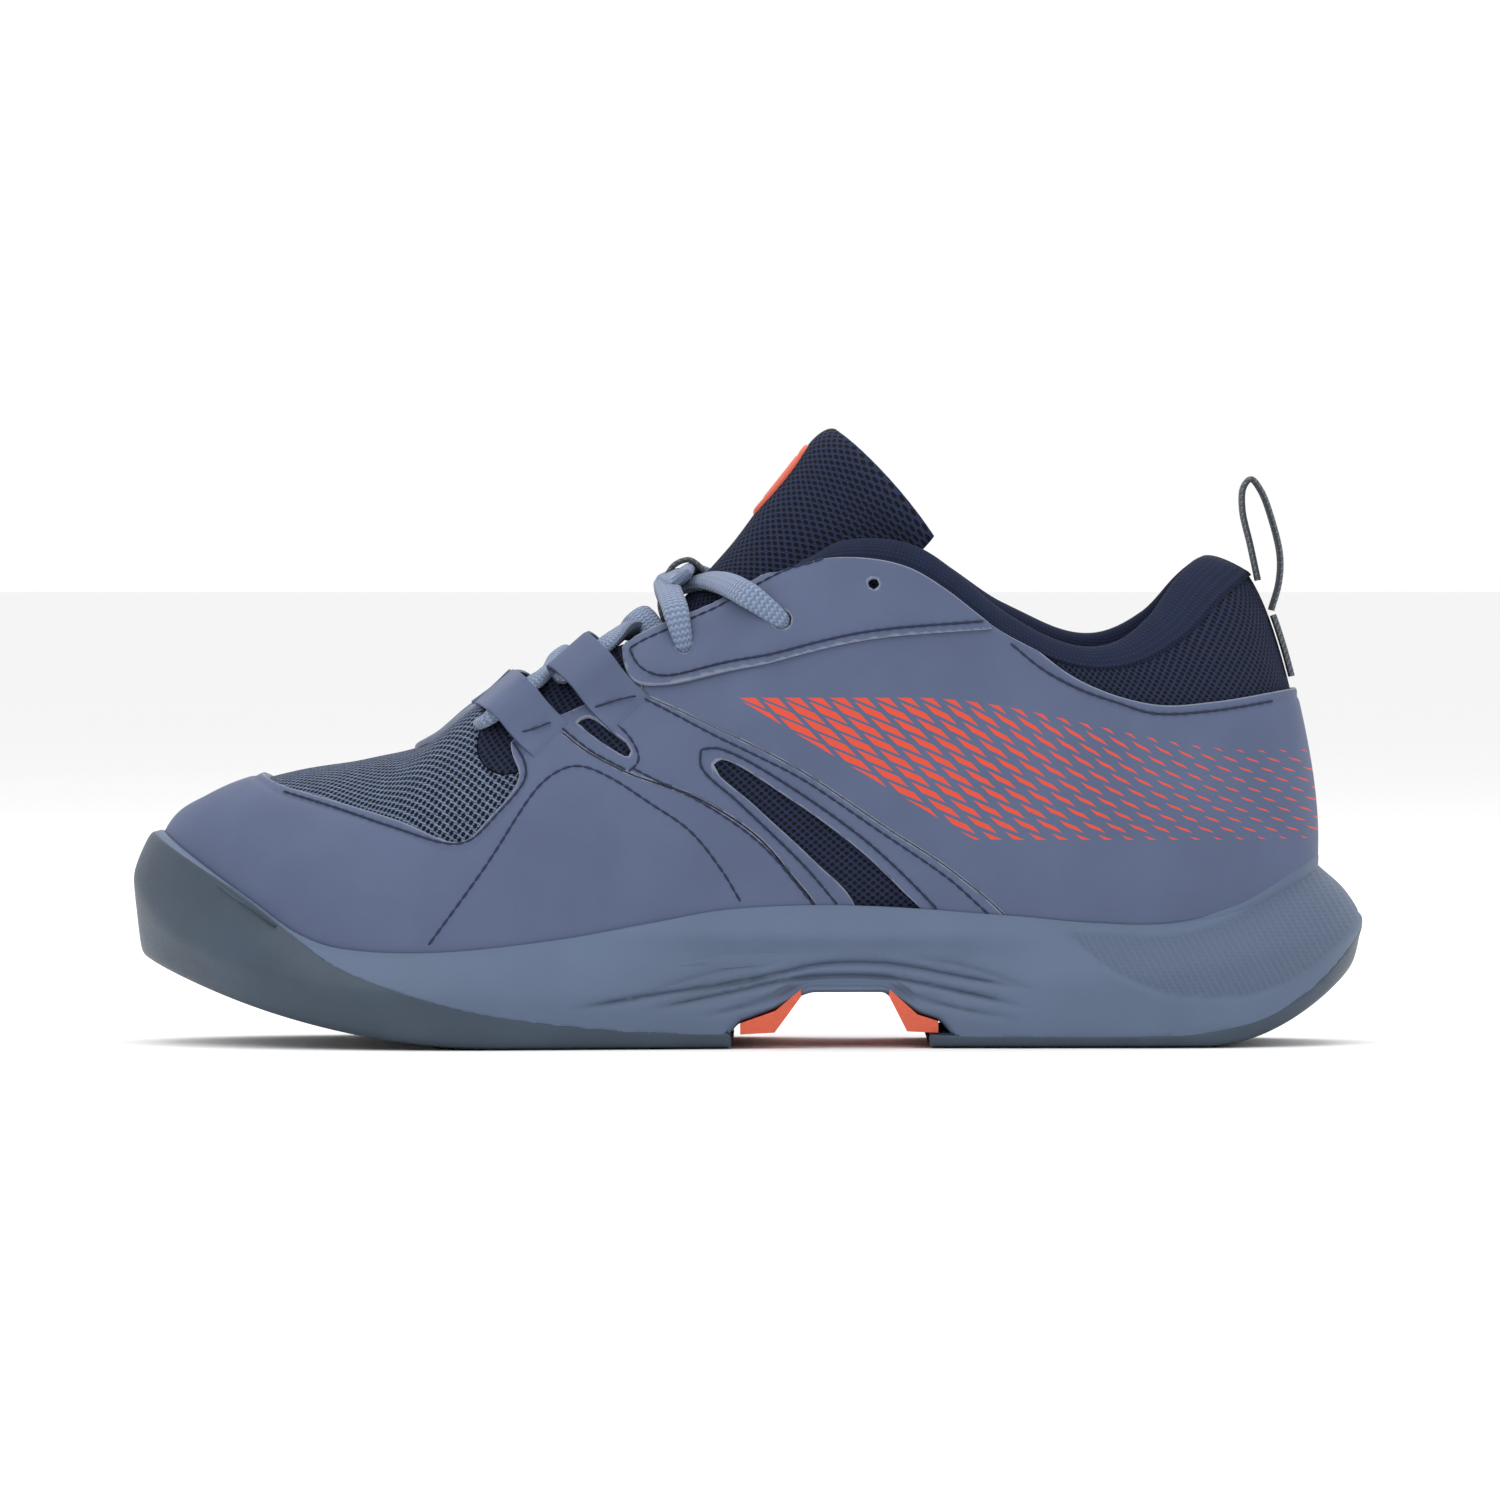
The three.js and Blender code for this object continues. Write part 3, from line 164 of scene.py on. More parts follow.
def hermite(t, start, end, leaving, arriving):
    """Between start and end at share t, from the slopes at both."""
    return ((2 * t**3 - 3 * t**2 + 1) * start + (t**3 - 2 * t**2 + t) * leaving
            + (3 * t**2 - 2 * t**3) * end + (t**3 - t**2) * arriving)


def spline(points, t, tension=None):
    """Points at shares t of a curve through points: centripetal, or with an even tension."""
    p = np.array(points, float)
    p = np.vstack([2 * p[0] - p[1], p, 2 * p[-1] - p[-2]])
    place = np.asarray(t, float) * (len(points) - 1)
    i = np.minimum(place.astype(int), len(points) - 2)
    w = (place - i)[:, None]
    p0, p1, p2, p3 = p[i], p[i + 1], p[i + 2], p[i + 3]
    if tension is None:
        d0, d1, d2 = [np.maximum(np.linalg.norm(b - a, axis=1, keepdims=True), 1e-6) ** 0.5
                      for a, b in ((p0, p1), (p1, p2), (p2, p3))]
        m1 = d1 * ((p1 - p0) / d0 - (p2 - p0) / (d0 + d1) + (p2 - p1) / d1)
        m2 = d1 * ((p2 - p1) / d1 - (p3 - p1) / (d1 + d2) + (p3 - p2) / d2)
    else:
        m1, m2 = tension * (p2 - p0), tension * (p3 - p1)
    return hermite(w, p1, p2, m1, m2)


def distance_run(points):
    """The distance run along a line up to each of its points."""
    return np.concatenate([[0], np.cumsum(np.linalg.norm(np.diff(points, axis=0), axis=1))])


def evenly(points, step):
    """The same line with points a step apart."""
    points = np.array(points, float)
    run = distance_run(points)
    at = np.linspace(0, run[-1], max(2, int(round(run[-1] / step)) + 1))
    return np.stack([np.interp(at, run, c) for c in points.T], axis=1)


def rounded(points, step=1.3):
    """A smooth line through points. A point that is given twice is a corner."""
    runs, run = [], [points[0]]
    for before, point in zip(points, points[1:]):
        if point == before:
            runs.append(run)
            run = [point]
        else:
            run.append(point)
    runs.append(run)
    lines = [spline(r, np.linspace(0, 1, 12 * len(r))) if len(r) > 2 else np.array(r, float) for r in runs]
    return evenly(np.vstack(lines), step)


SIDES = ((-1, "lateral"), (1, "medial"))  # the sign of Y on each side


# ---- The sole's outline and heights ---------------------------------------------------------------
# Angles run round the shoe: 0 at the back of the heel, 90 outer side, 180 toe tip, 270 inner side.
OUTLINE_Y = [
    2, -22, -38, -41, -41.5, -49, -55.5, -43, -17, 8, 31, 48.5, 55.5, 48, 37.5, 37, 38, 25.5,
]
half_width = through([(n * 20, OUTLINE_Y[n % 18]) for n in range(-2, 21)])
bed_height = through([
    (-150, 27), (-125, 22), (-100, 18.5), (-60, 17), (0, 21), (60, 24.5), (100, 25), (150, 26),
])
rim_height = through([
    (-150, 53), (-140, 47.5), (-121, 35.4), (-109, 27.5), (-98, 24), (-75, 23.2), (-46, 26.1),
    (-24, 30), (-4, 33.4), (25, 34.2), (64, 31.7), (84, 30), (103, 30), (118, 34.2), (132, 42.7),
    (140, 48),
])
wall_shape = through([  # height of the widest line, and how far the wall leans in above it
    (0, 31, 12.5), (25, 25, 10.5), (50, 17, 5.5), (90, 14, 4), (130, 14, 4), (155, 26, 4), (180, 40, 3.6),
    (205, 26, 4), (230, 14, 4), (270, 14, 4), (310, 17, 5.5), (335, 25, 10.5), (360, 31, 12.5)])
crest_and_ridge = through([
    (0, 113, 1, 120), (12, 111, -8, 118.8), (22, 106, -15, 114.5), (34, 98, -22.5, 104.5),
    (46, 88, -27.5, 98), (56, 77, -30.5, 98), (66, 62, -32, 105.5), (74, 49, -31.5, 116),
    (79, 41, -30.5, 121), (84, 32, -29, 123), (89, 22, -26, 122.3), (93, 14, -21.5, 118.5),
    (98, 3, 3, 117), (104, -10, 3, 110.5), (110, -23, 3, 104.5), (117, -38, 3, 96.7),
    (124, -52, 3, 87.3), (132, -66, 4, 75), (142, -84, 5, 69.6), (152, -101, 6, 67),
    (162, -116, 7, 63.6), (171, -126, 7.5, 60), (180, -131, 8, 58.2),
])
OPENING, RIDGE_START, RIDGE_SECOND = 93, 98, 104
rib_turn_degrees = through([
    (0, 88), (20, 84), (42, 70), (60, 60), (82, 60), (98, 90), (140, 90), (160, 86), (180, 76)])
fullness = through([
    (0, 2.45), (30, 2.5), (50, 2.4), (66, 2.1), (80, 1.9), (93, 1.9), (104, 2.1), (117, 2.2),
    (132, 2.4), (150, 2.9), (180, 3.6),
])
heel_bulge = through([(0, 3.6), (30, 3), (60, 1), (90, 0), (180, 0)])
feather_inset = through([(0, 15.5), (25, 13), (50, 8.5), (90, 6.5), (130, 7), (155, 6.5), (180, 6)])
BINDING = 5.5  # height of the knitted edge of the collar
SEAM_Y = 1.0  # the heel seam
SEAM_GAP = 0.3  # between two panels that meet edge to edge
MIDDLE_Y = 3.0  # the throat's middle


def folded(angle):
    return np.minimum(angle % 360, 360 - angle % 360)


def outline(angle):
    a = np.asarray(angle, float) % 360
    return np.stack([LENGTH / 2 * np.cos(np.radians(a)), half_width(a)], axis=-1)


def inset(angle, distance):
    along = unit(outline(angle + 2) - outline(angle - 2))
    inward = np.stack([along[..., 1], -along[..., 0]], axis=-1)
    return outline(angle) + inward * np.asarray(distance, float)[..., None]


def ground_height(x):
    return np.maximum(0, -58 - x) ** 2 * 0.00257 + np.maximum(0, x - 110) ** 2 * 0.013


# ---- The upper's surface --------------------------------------------------------------------------
# A place on it is (angle, share): share is 0 where it meets the sole and 1 at the collar or the instep.
def feather(angle):
    p = inset(angle, feather_inset(folded(angle)))
    if p.ndim == 1:
        return np.append(p, bed_height(p[0]))
    return np.concatenate([p, bed_height(p[..., :1])], axis=-1)


def crest(angle):
    a = folded(angle)
    p = crest_and_ridge(a)
    medial = (np.asarray(angle) % 360 > 180) & (a < RIDGE_START)
    across = mix(p[..., 1], 2 - p[..., 1], smooth(RIDGE_START, OPENING, a))
    p[..., 1] = np.where(medial, across, p[..., 1])
    p[..., 2] += np.where(medial, 2.5 * smooth(20, 45, a) * smooth(75, 60, a), 0)
    return p


def rib_turn(a):
    return np.radians(np.minimum(90, rib_turn_degrees(a)))


def binding_start(angle):
    """The share at which the collar's knitted edge starts."""
    a = folded(angle)
    power = 2 / fullness(a)
    height = crest(angle)[..., 2] - feather(angle)[..., 2]
    level = (1 - BINDING / height) * np.sin(rib_turn(a)) ** power
    start = np.arcsin(np.clip(level, 0, 1) ** (1 / power)) / rib_turn(a)
    return mix(0.8, start, smooth(RIDGE_SECOND, OPENING, a))


def surface(at):
    angle, share = at[:, 0], np.clip(at[:, 1], 0, 1)
    a = folded(angle)
    start, end = feather(angle), crest(angle)
    power = 2 / fullness(a)
    last = rib_turn(a)
    inward = (1 - np.cos(share * last) ** power) / (1 - np.cos(last) ** power)
    up = (np.sin(share * last) / np.sin(last)) ** power
    outward = inset(angle, np.zeros_like(angle)) - inset(angle, np.ones_like(angle))
    bulge = heel_bulge(a) * np.sin(np.pi * (1 - (1 - up) ** 2))
    flat = mix(start[:, :2], end[:, :2], inward[:, None]) + outward * bulge[:, None]
    return np.column_stack([flat, mix(start[:, 2], end[:, 2], up)])


def surface_normal(at):
    angle, share = at[:, 0], np.clip(at[:, 1], 0.0225, 0.985)
    here = lambda da, ds: surface(np.column_stack([angle + da, share + ds]))
    return unit(np.cross(here(0, 0.015) - here(0, -0.015), here(1.5, 0) - here(-1.5, 0)))


def upper(at, distance=0.0):
    """Points of the upper's surface, moved out by a distance."""
    at = np.asarray(at, float)
    distance = np.broadcast_to(np.asarray(distance, float), len(at))
    if not distance.any():
        return surface(at)
    collar = (distance < 0) & (folded(at[:, 0]) < RIDGE_START)
    share = np.where(collar, np.minimum(at[:, 1], 0.75), at[:, 1])
    normal = surface_normal(np.column_stack([at[:, 0], share]))
    joined = (at[:, 1] > 0.999) & (folded(at[:, 0]) >= RIDGE_START)
    other = surface_normal(at * [-1, 1])
    normal[joined] = unit(normal[joined] + other[joined])
    return surface(at) + normal * distance[:, None]


def find(side, line):
    """Places on one side of the upper, from x and z in the side view."""
    line = np.atleast_2d(np.array(line, float))
    angles, shares = np.meshgrid(np.arange(1, 180, 1.0), np.arange(0.02, 1.0, 0.01), indexing="ij")
    angles = angles if side < 0 else 360 - angles
    tries = np.column_stack([angles.ravel(), shares.ravel()])
    seen = surface(tries)[:, [0, 2]]
    near = np.array([np.argmin(((seen - p) ** 2).sum(axis=1)) for p in line])
    at = tries[near]
    for _ in range(4):
        here = surface(at)[:, [0, 2]]
        by_angle = (surface(at + [0.2, 0])[:, [0, 2]] - here) / 0.2
        by_share = (surface(at + [0, 0.002])[:, [0, 2]] - here) / 0.002
        size = by_angle[:, 0] * by_share[:, 1] - by_angle[:, 1] * by_share[:, 0]
        size = np.where(np.abs(size) < 1e-3, np.inf, size)
        miss = line - here
        step = np.column_stack([
            (miss[:, 0] * by_share[:, 1] - miss[:, 1] * by_share[:, 0]) / size,
            (miss[:, 1] * by_angle[:, 0] - miss[:, 0] * by_angle[:, 1]) / size])
        at = at + np.clip(step, [-3, -0.04], [3, 0.04])
        at[:, 1] = np.clip(at[:, 1], 0.005, 0.999)
    return at


# ---- Zones: how far a point is inside an outline, in millimetres ----------------------------------
def to_edges(points, a, b):
    """Distance from points to the nearest of the edges from a to b."""
    result = np.empty(len(points))
    along = b - a
    size = np.maximum((along**2).sum(axis=1), 1e-12)
    for low in range(0, len(points), 3000):
        x = points[low:low + 3000, 0, None] - a[:, 0]
        z = points[low:low + 3000, 1, None] - a[:, 1]
        t = np.clip((x * along[:, 0] + z * along[:, 1]) / size, 0, 1)
        result[low:low + 3000] = ((x - t * along[:, 0]) ** 2 + (z - t * along[:, 1]) ** 2).min(axis=1)
    return np.sqrt(result)


def inside(points, border):
    """Distance from a closed outline, positive inside."""
    a, b = np.array(border, float), np.roll(np.array(border, float), -1, axis=0)
    x, z = points[:, 0, None], points[:, 1, None]
    slope = (b[:, 0] - a[:, 0]) / np.where(b[:, 1] == a[:, 1], 1e-9, b[:, 1] - a[:, 1])
    over = (a[:, 1] > z) != (b[:, 1] > z)
    odd = (over & (x < a[:, 0] + (z - a[:, 1]) * slope)).sum(axis=1) % 2
    return to_edges(points, a, b) * np.where(odd == 1, 1, -1)


def near_line(points, line):
    """Distance from an open line."""
    line = np.array(line, float)
    return to_edges(points, line[:-1], line[1:])


FAR = 400


def side_zone(border):
    border = rounded(border + [border[0]])[:-1]
    return lambda p: inside(p[:, [0, 2]], border)


def toe_side_zone(line):
    line = rounded(line).tolist()
    border = [[line[0][0], FAR], [-FAR, FAR], [-FAR, -FAR], [line[-1][0], -FAR]] + line[::-1]
    return lambda p: inside(p[:, [0, 2]], border)


def below_zone(line):
    line = rounded(line).tolist()
    border = [[-FAR, -FAR], [FAR, -FAR], [FAR, line[-1][1]]] + line[::-1] + [[-FAR, line[0][1]]]
    return lambda p: inside(p[:, [0, 2]], border)


def both_in(*zones):
    return lambda p: np.min([z(p) for z in zones], axis=0)


def without(zone, *others):
    return lambda p: np.min([zone(p)] + [-z(p) for z in others], axis=0)


def moved_out(zone, distance):
    return lambda p: zone(p) + distance


def half(side):
    """One side of the heel seam."""
    return lambda p: (p[:, 1] - SEAM_Y) * side - SEAM_GAP / 2


# ---- Meshes ---------------------------------------------------------------------------------------
def make_mesh(name, points, faces, finish, body="shoe", nodes=(), uv=None, edge=None, sharp=38):
    """A finished piece: its mesh in metres, its material, its body and the nodes it stands for."""
    mesh = bpy.data.meshes.new(name)
    mesh.from_pydata((np.asarray(points, float) * MM).tolist(), [], [list(map(int, f)) for f in faces])
    piece = bpy.data.objects.new(name, mesh)
    bpy.context.scene.collection.objects.link(piece)
    corners = np.empty(len(mesh.loops), np.int32)
    mesh.loops.foreach_get("vertex_index", corners)
    if uv is not None:
        cloth = mesh.uv_layers.new(name="cloth")
        cloth.data.foreach_set("uv", np.asarray(uv, np.float32)[corners].ravel())
    if edge is not None:
        painted = mesh.attributes.new("edge", "FLOAT", "POINT")
        painted.data.foreach_set("value", np.asarray(edge, np.float32))
    mesh.polygons.foreach_set("use_smooth", np.ones(len(mesh.polygons), bool))
    mesh.set_sharp_from_angle(angle=math.radians(sharp))
    mesh.materials.append(finish)
    return place_piece(piece, body, nodes)


def place_piece(piece, body, nodes=()):
    if body:
        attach(piece, body)
    if nodes:
        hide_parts(*nodes)
    return piece


def merged(points, faces):
    """Joins points at one place. Returns the places kept and the faces between them."""
    _, first, same = np.unique(np.round(points, 3), axis=0, return_index=True, return_inverse=True)
    faces = same.reshape(-1)[faces]
    whole = (faces[:, 0] != faces[:, 1]) & (faces[:, 1] != faces[:, 2]) & (faces[:, 2] != faces[:, 0])
    return first, faces[whole]


def triangle_edges(faces):
    return faces[:, [[0, 1], [1, 2], [2, 0]]].reshape(-1, 2)


def rim_edges(faces):
    """The edges that only one triangle has, in its direction."""
    directed = triangle_edges(faces)
    count = faces.max() + 1
    code, back = directed @ [count, 1], directed[:, ::-1] @ [count, 1]
    return directed[~np.isin(code, back)]


SNAP = 0.3  # a corner this near to the line, as a share of its edge, is moved onto it


def cut(at, faces, field, both=False):
    """Cuts triangles along the line where field is 0, and keeps the positive side, or both sides."""
    value = field(at)
    edges, uses = np.unique(np.sort(triangle_edges(faces)), axis=0, return_counts=True)
    on_rim = np.zeros(len(at), bool)
    on_rim[edges[uses == 1]] = True
    a, b = edges[value[edges[:, 0]] * value[edges[:, 1]] < 0].T
    share = value[a] / (value[a] - value[b])
    who, other, how = np.concatenate([a, b]), np.concatenate([b, a]), np.concatenate([share, 1 - share])
    keep = (how < SNAP) & ~on_rim[who]
    order = np.argsort(-how[keep])
    who, other, how = who[keep][order], other[keep][order], how[keep][order]
    new = at.copy()
    new[who] = at[who] + how[:, None] * (at[other] - at[who])
    value[who] = 0
    a, b = edges[value[edges[:, 0]] * value[edges[:, 1]] < 0].T
    share = (value[a] / (value[a] - value[b]))[:, None]
    between = {(p, q): len(at) + n for n, (p, q) in enumerate(zip(a.tolist(), b.tolist()))}
    points = np.vstack([new, new[a] + share * (new[b] - new[a])])
    value = np.concatenate([value, np.zeros(len(a))])
    signs = np.sign(value[faces])
    high, low = (signs > 0).any(axis=1), (signs < 0).any(axis=1)
    kept = faces[~low & high] if not both else faces[~(low & high)]
    made = []
    for triangle in faces[low & high].tolist():
        up, down = [], []
        for n in range(3):
            p, q = triangle[n], triangle[(n + 1) % 3]
            if value[p] >= 0:
                up.append(p)
            if value[p] <= 0:
                down.append(p)
            if value[p] * value[q] < 0:
                middle = between[(min(p, q), max(p, q))]
                up.append(middle)
                down.append(middle)
        for ring in ([up, down] if both else [up]):
            made += [(ring[0], ring[k], ring[k + 1]) for k in range(1, len(ring) - 1)]
    faces = np.vstack([kept, np.array(made, int).reshape(-1, 3)])
    used, compact = np.unique(faces, return_inverse=True)
    return points[used], compact.reshape(-1, 3)


def grid(columns, rows):
    """Triangles over a rectangle of the two parameters."""
    u, v = np.meshgrid(columns, rows, indexing="ij")
    wide, tall = u.shape
    index = np.arange(wide * tall).reshape(wide, tall)
    a, b = index[:-1, :-1].ravel(), index[1:, :-1].ravel()
    c, d = index[1:, 1:].ravel(), index[:-1, 1:].ravel()
    faces = np.vstack([np.column_stack([a, d, c]), np.column_stack([a, c, b])])
    return np.column_stack([u.ravel(), v.ravel()]), faces


def even_angles(count):
    """Angles round the shoe at even distances, the same on both sides."""
    fine = np.linspace(0, 180, 721)
    lateral, medial = [np.linalg.norm(np.diff(outline(a), axis=0), axis=1) for a in (fine, -fine)]
    steps = (lateral + medial) / 2
    run = np.concatenate([[0], np.cumsum(steps)])
    one_side = np.interp(np.linspace(0, run[-1], count + 1), run, fine)
    return np.concatenate([one_side, 360 - one_side[::-1][1:]])


def shell(name, at, faces, inner, outer, finish, place=upper, body="shoe", nodes=(), uv=None,
          edge=None, sharp=38):
    """A closed sheet between two distances from a surface."""
    keep, faces = merged(place(at), faces)
    at = at[keep]

    def pick(value):
        return np.asarray(value)[keep] if np.ndim(value) else np.full(len(at), float(value))
    inner, outer = pick(inner), pick(outer)
    top, bottom = place(at, outer), place(at, inner)
    normal = np.cross(top[faces[:, 1]] - top[faces[:, 0]], top[faces[:, 2]] - top[faces[:, 0]])
    away = place(at, 1.0) - place(at, 0.0)
    if (normal * away[faces[:, 0]]).sum() < 0:
        faces = faces[:, ::-1]
    count = len(at)
    rim = rim_edges(faces)
    walls = np.column_stack([rim[:, 1], rim[:, 0], rim[:, 0] + count, rim[:, 1] + count])
    uv = None if uv is None else np.tile(uv(at), (2, 1))
    edge = None if edge is None else np.concatenate([pick(edge), pick(edge)])
    all_faces = faces.tolist() + (faces[:, ::-1] + count).tolist() + walls.tolist()
    return make_mesh(name, np.vstack([top, bottom]), all_faces, finish, body, nodes, uv, edge, sharp)


_upper_rows = np.concatenate([np.linspace(0, 0.9, 52), np.linspace(0.9, 1, 9)[1:]])
_upper_grid = grid(even_angles(215), _upper_rows)


def loft(rings):
    """The points of closed rings of equal length, and the faces between them and over both ends."""
    rings = np.array(rings, float)
    count, around = rings.shape[:2]
    faces = []
    for r in range(count - 1):
        for i in range(around):
            j = (i + 1) % around
            faces.append((r * around + i, r * around + j, (r + 1) * around + j, (r + 1) * around + i))
    last = (count - 1) * around
    faces.append(tuple(range(around))[::-1])
    faces.append(tuple(range(last, last + around)))
    points = rings.reshape(-1, 3)
    tri = np.array([(f[0], f[1], f[2]) for f in faces[:-2]])
    q = points - points.mean(axis=0)
    volume = np.einsum("ij,ij->i", q[tri[:, 0]], np.cross(q[tri[:, 1]], q[tri[:, 2]])).sum()
    return points, (faces if volume > 0 else [f[::-1] for f in faces])


def band(line, ups, width, thickness, section):
    """Rings of a band swept along a line, and the distance run at each."""
    line, ups = np.array(line, float), np.array(ups, float)
    ahead, behind = np.vstack([line[1:], line[-1:]]), np.vstack([line[:1], line[:-1]])
    along = unit(ahead - behind)
    across = unit(np.cross(along, ups))
    lift = np.cross(across, along)
    width, thickness = np.broadcast_to(width, len(line)), np.broadcast_to(thickness, len(line))
    w, h = np.array(section, float).T
    rings = (line[:, None] + across[:, None] * (w * width[:, None] / 2)[..., None]
             + lift[:, None] * (h * thickness[:, None] / 2)[..., None])
    return rings, distance_run(line)


def oval(count, power):
    t = np.linspace(0, 2 * np.pi, count, endpoint=False)
    return [(np.sign(c) * abs(c) ** (2 / power), np.sign(s) * abs(s) ** (2 / power))
            for c, s in zip(np.cos(t), np.sin(t))]


def swept(name, line, ups, width, thickness, section, finish, body="shoe", nodes=()):
    """A band, cord or strap along a line, with its length and its way round as its cloth map."""
    rings, run = band(line, ups, width, thickness, section)
    points, faces = loft(rings)
    around = len(section)
    girth = distance_run(rings[len(rings) // 2])
    uv = np.column_stack([np.tile(girth[:around], len(rings)), np.repeat(run, around)])
    return make_mesh(name, points, faces, finish, body, nodes, uv=uv)


# ---- Materials ------------------------------------------------------------------------------------
def as_math(operation):
    return lambda value, *others: value.math(operation, *others)


class Value:
    """A number that changes over a surface, with Python's arithmetic as Math nodes."""

    def __init__(self, finish, socket):
        self.finish, self.socket = finish, socket

    def math(self, operation, *others):
        return self.finish.node("ShaderNodeMath", {"operation": operation}, self, *others)

    def __rsub__(self, other):
        return self.finish.node("ShaderNodeMath", {"operation": "SUBTRACT"}, other, self)

    __add__ = __radd__ = as_math("ADD")
    __mul__ = __rmul__ = as_math("MULTIPLY")
    __sub__, __truediv__ = as_math("SUBTRACT"), as_math("DIVIDE")
    __pow__, __abs__ = as_math("POWER"), as_math("ABSOLUTE")
    fract, sine = as_math("FRACT"), as_math("SINE")
    least, most = as_math("MINIMUM"), as_math("MAXIMUM")

    def ramp(self, start, end):
        """0 before start and 1 after end, smoothly."""
        return self.finish.node(
            "ShaderNodeMapRange", {"interpolation_type": "SMOOTHSTEP"}, self, start, end, 0.0, 1.0)


class Finish:
    """A material's nodes."""

    def __init__(self, name, roughness=0.6, **constants):
        self.material = bpy.data.materials.new(name)
        self.material.use_nodes = True
        self.tree = self.material.node_tree
        self.shader = self.tree.nodes["Principled BSDF"]
        self.shader.inputs["Roughness"].default_value = roughness
        for socket, value in constants.items():
            self.shader.inputs[socket.replace("_", " ")].default_value = value

    def node(self, kind, settings, *values, output=0):
        made = self.tree.nodes.new(kind)
        for setting, value in settings.items():
            setattr(made, setting, value)
        for socket, value in zip([s for s in made.inputs if s.enabled], values):
            self.feed(socket, value)
        return Value(self, [s for s in made.outputs if s.enabled][output])

    def feed(self, socket, value):
        if isinstance(value, Value):
            self.tree.links.new(value.socket, socket)
        elif value is not None:
            if np.ndim(value):
                opaque = getattr(socket, "type", "") == "RGBA" and len(value) == 3
                value = (*value, 1.0) if opaque else tuple(value)
            socket.default_value = value

    def place(self):
        """The place in the shoe's frame, in millimetres."""
        where = self.node("ShaderNodeTexCoord", {}, output=3)
        scaled = self.node("ShaderNodeVectorMath", {"operation": "SCALE"}, where)
        scaled.socket.node.inputs["Scale"].default_value = 1 / MM
        return scaled

    def parts(self, vector):
        split = self.tree.nodes.new("ShaderNodeSeparateXYZ")
        self.feed(split.inputs[0], vector)
        return [Value(self, s) for s in split.outputs]

    def cloth(self):
        """The cloth map's two coordinates, in millimetres."""
        return self.parts(self.node("ShaderNodeUVMap", {"uv_map": "cloth"}))[:2]

    def noise(self, vector, scale, detail=2.0):
        made = self.tree.nodes.new("ShaderNodeTexNoise")
        self.feed(made.inputs["Vector"], vector)
        made.inputs["Scale"].default_value = scale
        made.inputs["Detail"].default_value = detail
        return Value(self, made.outputs["Fac"])

    def attribute(self, name):
        made = self.tree.nodes.new("ShaderNodeAttribute")
        made.attribute_name = name
        return Value(self, made.outputs["Fac"])

    def mixed(self, share, first, second):
        """A colour between two colours."""
        made = self.tree.nodes.new("ShaderNodeMix")
        made.data_type = "RGBA"
        made.clamp_factor = True
        self.feed(made.inputs["Factor"], share)
        self.feed(made.inputs["A"], first)
        self.feed(made.inputs["B"], second)
        return Value(self, [s for s in made.outputs if s.enabled][0])

    def paint(self, value):
        self.feed(self.shader.inputs["Base Color"], value)
        return self

    def rough(self, value):
        self.feed(self.shader.inputs["Roughness"], value)
        return self

    def relief(self, height, depth):
        """Raises the surface by height, 0 to 1, times depth in millimetres."""
        bump = self.tree.nodes.new("ShaderNodeBump")
        bump.inputs["Strength"].default_value = 1.0
        bump.inputs["Distance"].default_value = depth * MM
        self.feed(bump.inputs["Height"], height)
        self.feed(self.shader.inputs["Normal"], Value(self, bump.outputs["Normal"]))
        return self


_finishes = {}


def finish(make):
    """A finish is made once, and pieces of one kind share it."""
    def get():
        if make.__name__ not in _finishes:
            _finishes[make.__name__] = make().material
        return _finishes[make.__name__]
    return get


def shade(base, factor):
    return tuple(c * factor for c in base)


def honeycomb(u, v, wide, tall):
    """0 in the middle of a mesh hole, growing to about 1 on the yarn between holes, in staggered rows."""
    def hole(shift):
        a = abs((u / wide + shift).fract() - 0.5)
        b = abs((v / tall + shift).fract() - 0.5)
        return ((a * 2) ** 2.0 + (b * 2) ** 2.0) ** 0.5
    return hole(0.0).least(hole(0.5))


def synthetic_panel(name, base, printed=False):
    made = Finish(name, roughness=0.62, Specular_IOR_Level=0.35)
    where = made.place()
    tone = made.noise(where, 0.05, 3.0)
    grain = made.noise(where, 2.6, 3.0)
    paint = made.mixed(tone.ramp(0.3, 0.7), shade(base, 0.94), shade(base, 1.06))
    if printed:
        x, _, z = made.parts(where)
        upper_end = 84.5 - x.ramp(40.0, 125.0) * 13.0
        row = (z - 50.0) / (upper_end - 50.0)
        along = (x - (1.0 - row) * 58.0 + 3.0) / 5.4
        across = row * 4.5

        def lozenge(shift):
            return abs((along + shift).fract() - 0.5) + abs((across + shift).fract() - 0.5)
        centre = lozenge(0.0).least(lozenge(0.5))
        size = 0.38 - x.ramp(0.0, 132.0) * 0.24
        ends = row.ramp(0.0, 0.01) * (1.0 - row.ramp(0.99, 1.0)) * along.ramp(0.0, 0.02)
        ink = (size - centre).ramp(-0.012, 0.012) * ends
        paint = made.mixed(ink, paint, colours().print_ink)
    raw = made.attribute("edge")
    made.paint(made.mixed(raw * 0.7, paint, colours().raw_edge))
    made.rough(grain.ramp(0.2, 0.8) * 0.12 + 0.54)
    return made.relief(grain, 0.05)


@finish
def overlay_finish():
    return synthetic_panel("synthetic", colours().overlay)


@finish
def printed_finish():
    return synthetic_panel("printed_synthetic", colours().overlay, printed=True)


